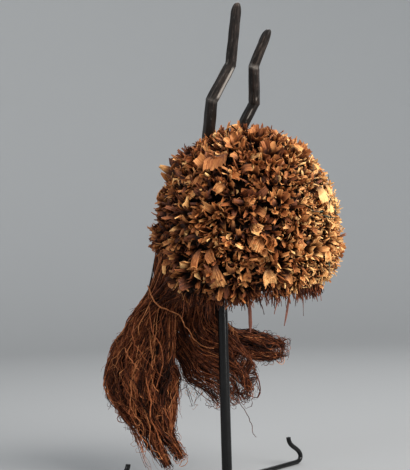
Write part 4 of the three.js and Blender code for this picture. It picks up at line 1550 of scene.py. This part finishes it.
def family(hank, way, locks, fibres, ends, tone, radius, seed):
    """Fibres of one kind, as (lines, radius, tone).

    A lock starts somewhere round the hank's oval, at a reach from the way's ``level``, winds
    round it by a random angle and drifts. A fibre lies at its lock's place plus
    spread * (cos, sin)(phase + turns * share). ``ends`` gives each lock the share of the hank
    where it ends, and the place over the width that it gathers to.
    """
    random = np.random.default_rng(seed)
    stations = way["stations"]
    lock = np.sort(random.integers(0, locks, fibres))
    v = np.linspace(0, 1, stations)[None, :]
    chosen = random.random(fibres) < way["loops"]
    moving = np.where(chosen[:, None], np.minimum(v / MOVES_UNTIL, 1), v)
    begin = random.uniform(0, 2 * math.pi, locks)
    winding = random.normal(0, way["winding"], locks)
    reach = np.sqrt(random.uniform(*np.square(way["level"]), locks))
    last, goal = ends(reach * np.cos(begin + winding), random)
    last = np.clip(last[lock] - 0.18 * random.random(fibres) ** 2, 0.3, 1)
    share = blend((0.05 + random.uniform(0, 0.08, fibres))[:, None], last[:, None], moving)
    around = begin[lock][:, None] + winding[lock][:, None] * ease(0.05, 0.95, share)
    wander_wide, wander_deep = (
        way["wander"] * drift(locks, stations, 1.4, random)
        + 0.06 * drift(locks, stations, 4, random) for _ in range(2)
    )
    wide = reach[lock][:, None] * np.cos(around) + wander_wide[lock]
    deep = reach[lock][:, None] * np.sin(around) + wander_deep[lock]
    loose = np.where(random.random(fibres) < 0.2, 2.4, 1.0)
    within = (way["spread"] * loose * np.sqrt(random.random(fibres)))[:, None]
    phase = random.uniform(0, 2 * math.pi, fibres)[:, None] + way["turns"] * 2 * math.pi * share
    wide, deep = held_in(wide + within * np.cos(phase), deep + 1.6 * within * np.sin(phase))
    gather = ease(0.74, 1.0, share) * np.isfinite(goal[lock])[:, None]
    end = np.nan_to_num(goal)[lock][:, None] + 1.6 * within * np.cos(phase) + 0.14 * wide
    lines = in_hank(hank, share, blend(wide, end, 0.95 * gather), blend(deep, 0.5 * deep, gather))
    lines = frizz(lines, way["frizz"] * MM * np.exp(random.normal(0, 0.4, fibres)), 6, random)
    lines = looped(lines, chosen, random)
    tones = random.normal(tone, 0.2, locks)[lock] + 0.14 * random.standard_normal(fibres)
    return lines, random.uniform(*radius, fibres) * MM, tones


print("three ways for a lock to lie: inside, as ropes and as wisps")

# %% [markdown]
# Two kinds of fibre lie on top of the locks. Stray hairs lift off the surface and blur the hank's
# edge, as loose hair does. And the few single strands that one notices first are put where they
# are seen, one by one.

# %% Strays and single strands
STRAY_STATIONS = 14
STRAY_LIFT = (2, 14)
HAND_STATIONS = 36
HAND_FRIZZ = 0.9 * MM


def strays(hank, fibres, shares, seed, tone=0.42):
    """Single hairs that leave the hank's surface: from a share of its length they run on over a
    short stretch, while they lift off by 2 to 14 mm and wave."""
    random = np.random.default_rng(seed)
    v = np.linspace(0, 1, STRAY_STATIONS)[None, :]
    begin = random.uniform(*shares, fibres)[:, None]
    share = np.minimum(begin + random.uniform(0.04, 0.2, fibres)[:, None] * v, 1)
    start = random.uniform(0, 2 * math.pi, fibres)[:, None]
    around = start + random.normal(0, 0.5, (fibres, 1)) * v
    surface = in_hank(hank, share, 0.95 * np.cos(around), 0.95 * np.sin(around))
    middle = in_hank(hank, share, 0 * around, 0 * around)
    lift = random.uniform(*STRAY_LIFT, fibres)[:, None] * MM * v**1.4
    lines = surface + lift[..., None] * unit(surface - middle)
    lines = frizz(lines, random.uniform(0.5, 3.0, fibres) * MM, 1.6, random)
    return lines, random.uniform(0.2, 0.38, fibres) * MM, random.normal(tone, 0.15, fibres)


def by_hand(single_strands, seed):
    """Strands placed one by one, each a line through its places. A small frizz keeps them from
    looking drawn."""
    share = np.linspace(0, 1, HAND_STATIONS)
    lines = np.array([at(*through(places, share).T) for _, _, places in single_strands])
    lines = frizz(lines, HAND_FRIZZ, 5, np.random.default_rng(seed))
    radius, tone = (np.array([strand[i] for strand in single_strands]) for i in (0, 1))
    return lines, radius * MM, tone


print("stray hairs lift off by", *STRAY_LIFT, "mm at least and at most")

# %% [markdown]
# The long hank narrows into two tails. Its outer locks end higher up. More than half of its fibres
# start on the cheek, above the rim, and slide down over it before they join the hank. A stiff,
# twig-like strand crosses over from it to the next hank.

# %% The long hank
LONG_STRANDS = (
    # radius in millimetres, tone, and places across, deep and up
    (1.15, 0.80, [(-113, -36, 312), (-109, -38, 302), (-101, -34, 284), (-84, -26, 273),
                  (-67, -12, 264), (-59, 4, 246), (-51, 14, 235), (-38, 26, 215), (-14, 38, 206)]),
    (1.1, 0.62, [(-112, -26, 300), (-112, -16, 289), (-112, -8, 261), (-107, -2, 235),
                 (-95, 4, 208), (-96, 8, 180), (-106, 11, 155), (-112, 14, 125)]),
    (1.1, 0.68, [(-153, 6, 214), (-149, 4, 203), (-141, 5, 191), (-132, 7, 178)]),
    (1.2, 0.62, [(-122, 8, 168), (-120, 11, 152), (-115, 14, 130), (-117, 18, 105), (-107, 24, 76),
                 (-98, 28, 50)]),
    (0.9, 0.60, [(-134, 0, 262), (-140, 0, 240), (-138, 3, 222), (-128, 4, 205), (-118, 6, 190)]),
)
LOW_TAIL, RIGHT_TAIL = 0.15, -0.9
CHEEK_SHARE = 0.65


def long_ends(wide, random):
    """Where each lock ends, and the place over the width that it gathers to. Some locks, most of
    them on one side, end high and free, and the others gather into the two tails."""
    count = len(wide)
    pick = random.random(count) + 0.5 * (wide < 0)
    free = (pick < 0.4) | (wide > 0.5)
    last = np.where(free, random.uniform(0.66, 0.94, count), random.uniform(0.86, 1.07, count))
    goal = np.where(random.random(count) < 0.5, LOW_TAIL, RIGHT_TAIL)
    return last, np.where(free, np.nan, goal)


def from_cheek(fibres, seed):
    """Starts some of the fibres on the cheek: from a place there each slides down the hood's skin
    to the rim, and eases over into its line in the hank."""
    lines, radius, tone = fibres
    random = np.random.default_rng(seed)
    count, stations, _ = lines.shape
    moved = random.random(count) < CHEEK_SHARE
    turn = np.radians(random.uniform(BEARD_TURN[0] + 8, BEARD_TURN[1] - 1, count))
    down = random.uniform(0.58, 0.97, count)
    v = np.linspace(0, 1, stations)[None, :]
    slide = np.minimum(down[:, None] + 1.6 * v * (1 - down[:, None]), 1)
    over = hood_skin(slide, turn[:, None] + 0.07 * drift(count, stations, 1.5, random))
    proud = (6 + 13 * random.random(count)[:, None]) * MM * ease(0, 0.1, v)
    over = over + proud[..., None] * unit(over - HOOD_CENTRE)
    over = blend(over, lines, ease(0.0, 0.34, v)[..., None])
    return np.where(moved[:, None, None], over, lines), radius, tone


# Painted shade: the fibres inside the hank get a tone of 0.07, nearly black.
inner = family(LONG_HANK, INSIDE, 40, 760, long_ends, 0.07, (0.55, 1.0), 51)
ropes = family(LONG_HANK, ROPES, 62, 520, long_ends, 0.42, (0.5, 1.0), 52)
wisps = family(LONG_HANK, WISPS, 240, 240, long_ends, 0.53, (0.3, 0.7), 53)
stands_for_long = ["beard_long_hank"]
add_fibres("beard_long_inner", [from_cheek(inner, 54)], 54, stands_for_long, bast)
add_fibres(
    "beard_long_outer",
    [from_cheek(ropes, 55), from_cheek(wisps, 56), strays(LONG_HANK, 165, (0.12, 0.93), 57),
     by_hand(LONG_STRANDS, 58)],
    55, stands_for_long, bast,
)

# %% [markdown]
# The other two hanks were folded like skeins before they were tied. The middle one sweeps down and
# to the right in arcs, one inside the other, and the folds show as loops at its end. The side one
# lies nearly level behind the rod. Both have gaps that one sees through. It is easiest to lay the
# fibres first and then to lead them round each gap, as fingers part hair.

# %% Arcs and gaps
GAPS = (
    # across, height, half length, half width, and the angle in degrees of its long axis
    (32, 182, 25, 8.5, -48),
    (46, 157, 15, 6, -75),
    (29, 135, 12, 6, -60),
    (8, 147, 9, 4, -55),
    (90, 195, 13, 4.5, -5),
)
ARC_STATIONS = 36
ARC_STARTS = (-0.6, 1.05)
ARC_END = -1.05
MIDDLE_STRANDS = (
    # radius in millimetres, tone, and places across, deep and up
    (0.8, 0.30, [(20, 66, 190), (39, 67, 173), (52, 68, 164), (52, 68, 150), (57, 69, 134),
                 (54, 69, 124), (42, 69, 125), (31, 69, 135)]),
    (1.0, 0.34, [(-8, 56, 197), (10, 61, 190), (33, 64, 181), (48, 66, 169), (56, 69, 150),
                 (58, 70, 134), (52, 70, 122)]),
    (0.5, 0.25, [(12, 66, 140), (20, 67, 122), (29, 67, 108), (40, 68, 88), (43, 68, 75),
                 (46, 70, 62), (50, 70, 60)]),
    (0.5, 0.2, [(20, 66, 135), (30, 66, 122), (42, 66, 122), (44, 66, 112), (35, 66, 107),
                (28, 66, 114)]),
    (0.8, 0.34, [(60, 92, 224), (78, 93, 222), (90, 95, 217), (98, 97, 207), (98, 98, 194),
                 (89, 98, 187), (73, 96, 186)]),
)


def parted(fibres):
    """Fibres led round the gaps. A gap is an ellipse that lies along the fibres: where it is w
    wide, a point at s beside its long axis moves out to (s^3 + w^3)^(1/3)."""
    lines, radius, tone = fibres
    for across, height, half_long, half_wide, angle in GAPS:
        turn = math.radians(angle)
        x = lines @ ACROSS / MM - across
        y = lines[..., 2] / MM - height
        along = x * math.cos(turn) + y * math.sin(turn)
        beside = y * math.cos(turn) - x * math.sin(turn)
        wide = half_wide * np.sqrt(np.clip(1 - (along / half_long) ** 2, 0, 1))
        out = (np.abs(beside) ** 3 + wide**3) ** (1 / 3) - np.abs(beside)
        out = np.where(beside < 0, -out, out)
        lines = lines + at(-out * math.sin(turn), 0 * out, out * math.cos(turn))
    return lines, radius, tone


def swept(hank, fibres, tone, seed):
    """Fibres in arcs, as (lines, radius, tone). A fibre that starts at w over the width eases
    over to a place between w - 1.8 and w - 1. The more it starts to the left, the later it does
    so and the further down it runs."""
    random = np.random.default_rng(seed)
    v = np.linspace(0, 1, ARC_STATIONS)[None, :]
    chosen = random.random(fibres) < 0.6
    moving = np.where(chosen[:, None], np.minimum(v / MOVES_UNTIL, 1), v)
    start = random.uniform(*ARC_STARTS, fibres)[:, None]
    end = np.maximum(start - random.uniform(1.0, 1.8, (fibres, 1)), ARC_END)
    left = start - ARC_STARTS[0]
    far = 0.82 + 0.11 * left + 0.05 * random.standard_normal((fibres, 1))
    share = blend(random.uniform(0.05, 0.1, (fibres, 1)), np.clip(far, 0.5, 1), moving)
    late = 0.25 * left
    bend = ease(0.3 + late, 1.02 + 0.4 * late, moving)
    wide = blend(start, end, bend) + 0.1 * drift(fibres, ARC_STATIONS, 1.5, random)
    level = random.choice([-1.0, 1.0], (fibres, 1)) * random.uniform(0.35, 1.0, (fibres, 1))
    deep = level + 0.3 * drift(fibres, ARC_STATIONS, 1.3, random)
    lines = in_hank(hank, share, *held_in(wide, deep))
    lines = frizz(lines, random.uniform(0.5, 2.2, fibres) * MM, 4.5, random)
    lines = looped(lines, chosen, random)
    return lines, random.uniform(0.4, 0.8, fibres) * MM, random.normal(tone, 0.18, fibres)


def hanging(wide, random):
    """Free ends at different heights."""
    return random.uniform(0.7, 1.0, len(wide)), np.full(len(wide), np.nan)


def blunt(wide, random):
    """Ends close together."""
    return random.uniform(0.9, 1.05, len(wide)), np.full(len(wide), np.nan)


print(len(GAPS), "gaps to see through")

# %% [markdown]
# Each hank is a few families of fibres: the mass inside, darkened as painted shade, what lies on
# it, and the strays. In the middle hank the arcs take the place of ropes. Among its single strands
# are the largest loops and a long hooked strand that hangs below it.

# %% The folded hanks
# Painted shade: in both hanks the fibres inside get a tone below 0.1, nearly black.
middle = [
    parted(family(MIDDLE_HANK, INSIDE, 24, 300, hanging, 0.06, (0.5, 0.9), 61)),
    parted(swept(MIDDLE_HANK, 400, 0.33, 62)),
    parted(family(MIDDLE_HANK, WISPS, 70, 70, hanging, 0.50, (0.35, 0.6), 63)),
    strays(MIDDLE_HANK, 60, (0.4, 0.9), 64, 0.2),
    by_hand(MIDDLE_STRANDS, 66),
]
side = [
    parted(family(SIDE_HANK, INSIDE, 30, 190, blunt, 0.08, (0.5, 0.85), 71)),
    parted(family(SIDE_HANK, {**ROPES, "loops": 0.6}, 44, 190, blunt, 0.30, (0.4, 0.7), 72)),
    family(SIDE_HANK, WISPS, 30, 30, blunt, 0.44, (0.35, 0.55), 73),
    strays(SIDE_HANK, 40, (0.5, 0.92), 74, 0.2),
]
add_fibres("beard_middle", middle, 65, ["beard_middle_hank"], bast)
add_fibres("beard_side", side, 75, ["beard_side_hank"], bast)

# %% [markdown]
# Two small things finish the hood. Short dark fibres, the ends of its ties, fringe the rim below
# the leaves. And a few thin green-black stalks are still caught among the pale leaves at the right.

# %% Fringe and stalks
FRINGE = 800
LONG_TIE, SHORT_TIE = 27, 17
DROOP = 12
STALKS = 15
STALK_LIFT = 18 * MM


def fringe(seed):
    """Short fibres out of the rim: each runs down and a little outwards from it, and droops by
    DROOP * run^2. About one in sixteen is longer than the others."""
    random = np.random.default_rng(seed)
    turn = random.uniform(0, 2 * math.pi, FRINGE)
    place, normal, around, _ = hood_axes(random.uniform(0.93, 1.0, FRINGE), turn)
    spread = random.normal(0, 0.45, (FRINGE, 1))
    way = unit(-UP + random.uniform(-0.1, 0.6, (FRINGE, 1)) * normal + spread * around)
    length = np.where(random.random(FRINGE) < 0.06, LONG_TIE, SHORT_TIE)
    length = length * random.uniform(0.5, 1.15, FRINGE) * MM
    run = (length[:, None] * np.linspace(0, 1, 7)[None, :])[..., None]
    lines = place[:, None] + 4 * MM * normal[:, None] + run * way[:, None] - DROOP * run**2 * UP
    lines = frizz(lines, random.uniform(0.3, 1.6, FRINGE) * MM, 1.0, random)
    return lines, random.uniform(0.5, 1.0, FRINGE) * MM, random.normal(0.3, 0.15, FRINGE)


def stalks(seed):
    """Thin curved stalks: place + run * way + 0.4 * run^2 / length * bend."""
    random = np.random.default_rng(seed)
    upper = np.arange(STALKS) < STALKS * 0.65
    across = np.where(upper, random.uniform(136, 170, STALKS), random.uniform(148, 166, STALKS))
    height = np.where(upper, random.uniform(405, 478, STALKS), random.uniform(318, 348, STALKS))
    down, turn = np.array([nearest_on_hood(*spot) for spot in zip(across, height)]).T
    place, normal, around, downward = hood_axes(down, turn)
    lie = random.normal(0, 1, (2, STALKS, 1))
    way = unit(0.1 * normal + lie[0] * around + lie[1] * downward)
    bend = unit(random.normal(0, 1, (STALKS, 3)) - 0.3 * normal)
    length = random.uniform(14, 27, STALKS)[:, None, None] * MM
    run = length * np.linspace(0, 1, 12)[None, :, None]
    start = (place + STALK_LIFT * normal)[:, None]
    lines = start + run * way[:, None] + 0.4 * run**2 / length * bend[:, None]
    return lines, random.uniform(0.45, 0.75, STALKS) * MM, np.full(STALKS, 0.5)


def green_stalk():
    """Dark grey-green, mottled by noise."""
    finish = Finish("green_stalk", roughness=0.5, specular=0.4)
    finish.set("Base Color", finish.ramp(finish.noise(finish.place(), 90.0), [
        (0.3, (0.012, 0.020, 0.014)), (0.7, (0.050, 0.090, 0.065)),
    ]))
    return finish


add_fibres("rim_fringe", [fringe(81)], 81, [], bast)
add_fibres("green_stalks", [stalks(83)], 83, [], green_stalk())

# %% [markdown]
# Two narrow strips of hide hang from the rim, left over from tying the mask on. They are bands
# with an oval section, twisted a little, and ragged at the end.

# %% Tie strips
STRIP_STATIONS = 26
STRIP_CORNERS = 12
STRIP_HALF_THICKNESS = 0.75 * MM
STRIP_LENGTH = 0.07
STRIPS = {
    # top and end across, deep and up, half the width at both, and the twist in radians
    "back": ([35, -128, 309], [38, -128, 243], 3.4, 2.2, 0.5),
    "side": ([98, -115.7, 314], [88, -115.7, 250], 2.0, 1.4, -0.7),
}


def strip_skin(top, end, half_top, half_end, twist, seed):
    """A band from top to end with an oval section. Its line bows by a sine, it turns by
    ``twist`` radians in all, its edges wave by two sines, and it narrows to a torn end."""
    v = np.linspace(0, 1, STRIP_STATIONS)
    line = blend(at(*top), at(*end), v[:, None]) + 1.5 * MM * np.sin(math.pi * v)[:, None] * ACROSS
    angle = np.linspace(0, 2 * math.pi, STRIP_CORNERS, endpoint=False)
    wave = 1 + 0.12 * np.sin(9 * v + seed) + 0.07 * np.sin(23 * v + 2 * seed)
    half = (blend(half_top, half_end, v) * MM * wave * blend(1, 0.35, ease(0.86, 1, v)))[:, None]
    cosine, sine = np.cos(twist * v)[:, None], np.sin(twist * v)[:, None]
    x, y = half * np.cos(angle), STRIP_HALF_THICKNESS * np.sin(angle)
    rings = carried(line, x * cosine - y * sine, x * sine + y * cosine, DEEP)
    fold = abs(angle / math.pi - 1)[None, :]
    uv = np.stack(np.broadcast_arrays(fold, v[:, None] * STRIP_LENGTH), -1)
    return skin(rings), uv.reshape(-1, 2)


def dry_hide():
    """Red-brown hide, streaked along the strip and grained all over."""
    finish = Finish("dry_hide", roughness=0.6, specular=0.35)
    across, run = finish.along()
    grain = finish.noise(finish.place(), 700.0, 4.0)
    streak = finish.noise(finish.vector(across * 4.0, run * 60.0), 1.0, 3.0)
    finish.set("Base Color", finish.ramp(grain * 0.4 + streak * 0.6, [
        (0.25, (0.070, 0.020, 0.012)), (0.60, (0.190, 0.062, 0.036)), (0.90, (0.330, 0.130, 0.080)),
    ]))
    finish.relief(grain, 0.5, 0.0004)
    return finish


hide = dry_hide()
for index, (name, (top, end, half_top, half_end, twist)) in enumerate(STRIPS.items()):
    shape, uv = strip_skin(top, end, half_top, half_end, twist, index + 1)
    add_piece("hide_strip_" + name, shape, hide, ["tie_strip_" + name], uv)

# %% [markdown]
# The stand is a round iron rod with three thinner bars welded to its foot and hooked up at their
# ends. All of it is painted black. A smith would bend such a bar cold round a former, and a
# Bezier curve gives the same even bends. The rod is carried up into the crown, where it ends out
# of sight.

# %% The stand's bars
ROD_RADIUS = 8 * MM
ROD_TOP = 512 * MM
ROD_BEVEL = 0.6 * MM
ROD_CORNERS = 64
BEVEL_SHARE = 0.88
FOOT_RADIUS = 3.8 * MM
FOOT_CORNERS = 28
SIDEWAYS = np.array([0.0, 1.0, 0.0])
FOOT_DIRECTIONS = (66, 186, 342)
FOOT_START = 8.4 * MM
HOOK_STATIONS = 24
END_BEVEL = 0.4 * MM
FOOT_LINES = (
    # the corners of two Bezier curves: millimetres out from the rod and up
    ((184, 3.8), (203, 3.8), (203, 15.36), (190, 24)),
    ((190, 24), (179, 31.68), (167, 34.56), (166, 48)),
)


def bezier(corners, count):
    """(1-t)^3 a + 3t(1-t)^2 b + 3t^2(1-t) c + t^3 d."""
    a, b, c, d = np.array(corners, float)
    t = np.linspace(0, 1, count)[:, None]
    return (1 - t) ** 3 * a + 3 * t * (1 - t) ** 2 * b + 3 * t * t * (1 - t) * c + t**3 * d


def round_bar(line, radius, corners, facing):
    """A round section along a line, its last edge broken by a small bevel at both ends."""
    angle = np.linspace(0, 2 * math.pi, corners, endpoint=False)
    reach = np.full(len(line), radius)
    reach[[0, -1]] = BEVEL_SHARE * radius
    return carried(line, reach[:, None] * np.cos(angle), reach[:, None] * np.sin(angle), facing)


def foot_line():
    """A foot's middle line: straight out from the rod and then up the hook. A station that lies
    END_BEVEL before the last one makes room for the bevel."""
    curve = np.concatenate([bezier(corners, HOOK_STATIONS) for corners in FOOT_LINES]) * MM
    straight = np.linspace([FOOT_START, FOOT_RADIUS], curve[0], 12)[:-1]
    flat = np.concatenate([straight, curve[:HOOK_STATIONS], curve[HOOK_STATIONS + 1:]])
    before_end = flat[-1:] - END_BEVEL * unit(flat[-1] - flat[-2])
    flat = np.concatenate([flat[:-1], before_end, flat[-1:]])
    return np.stack([flat[:, 0], 0 * flat[:, 0], flat[:, 1]], -1)


def turned_about_z(points, degrees):
    """Points turned about Z: x cos - y sin and x sin + y cos."""
    cosine, sine = math.cos(math.radians(degrees)), math.sin(math.radians(degrees))
    return points @ np.array([[cosine, sine, 0], [-sine, cosine, 0], [0, 0, 1]])


print("foot bars point", *FOOT_DIRECTIONS, "degrees round")

# %% [markdown]
# Where a foot bar meets the rod, the welder left a bead. In the frame a small gap stands for it, so
# here it is a collar over that gap. The paint has filled its ripples, and one finish covers it all.

# %% The weld, the paint and the stand
WELD_RADIUS = 4.9 * MM
WELD_FROM, WELD_TO = 6.9, 11.4
SHARP_BEND = 40


def black_iron():
    """Black paint over drawn iron: nearly even, and rubbed paler and duller in places."""
    finish = Finish("black_iron", specular=0.3)
    cloud = finish.noise(finish.place(), 55.0, 4.0)
    fine = finish.noise(finish.place(), 900.0, 3.0)
    finish.set("Base Color", finish.ramp(cloud * 0.7 + fine * 0.3, [
        (0.25, (0.002, 0.002, 0.002)), (0.60, (0.004, 0.004, 0.004)), (0.85, (0.018, 0.017, 0.016)),
    ]))
    finish.set("Roughness", 0.14 + cloud * 0.12)
    finish.relief(fine, 0.25, 0.0002)
    return finish


def weld_bead():
    """The bead where a foot bar meets the rod: a collar whose radius swells by a sine to
    WELD_RADIUS. It rests on the floor, so its middle line lies as high as its radius."""
    v = np.linspace(0, 1, 9)
    radius = blend(FOOT_RADIUS * 1.02, WELD_RADIUS, np.sin(math.pi * v))
    line = np.stack([blend(WELD_FROM, WELD_TO, v) * MM, 0 * v, radius], -1)
    angle = np.linspace(0, 2 * math.pi, FOOT_CORNERS, endpoint=False)
    lumpy = radius[:, None] * (1 + 0.02 * np.sin(3 * angle)[None, :])
    return carried(line, lumpy * np.cos(angle), radius[:, None] * np.sin(angle), UP)


iron = black_iron()
shaft = np.linspace(6 * MM, ROD_TOP - ROD_BEVEL, 24)
rod_height = np.concatenate([[0, ROD_BEVEL], shaft, [ROD_TOP]])
rod_line = np.stack([0 * rod_height, 0 * rod_height, rod_height], -1)
rod = round_bar(rod_line, ROD_RADIUS, ROD_CORNERS, ACROSS)
add_piece("iron_rod", skin(rod), iron, ["stand_rod"], sharp=SHARP_BEND)
foot, bead = round_bar(foot_line(), FOOT_RADIUS, FOOT_CORNERS, SIDEWAYS), weld_bead()
for index, direction in enumerate(FOOT_DIRECTIONS, start=1):
    welded = gathered([skin(turned_about_z(rings, direction)) for rings in (foot, bead)])
    add_piece(f"iron_foot_{index}", welded, iron, [f"stand_foot_{index}"],
              sharp=SHARP_BEND)
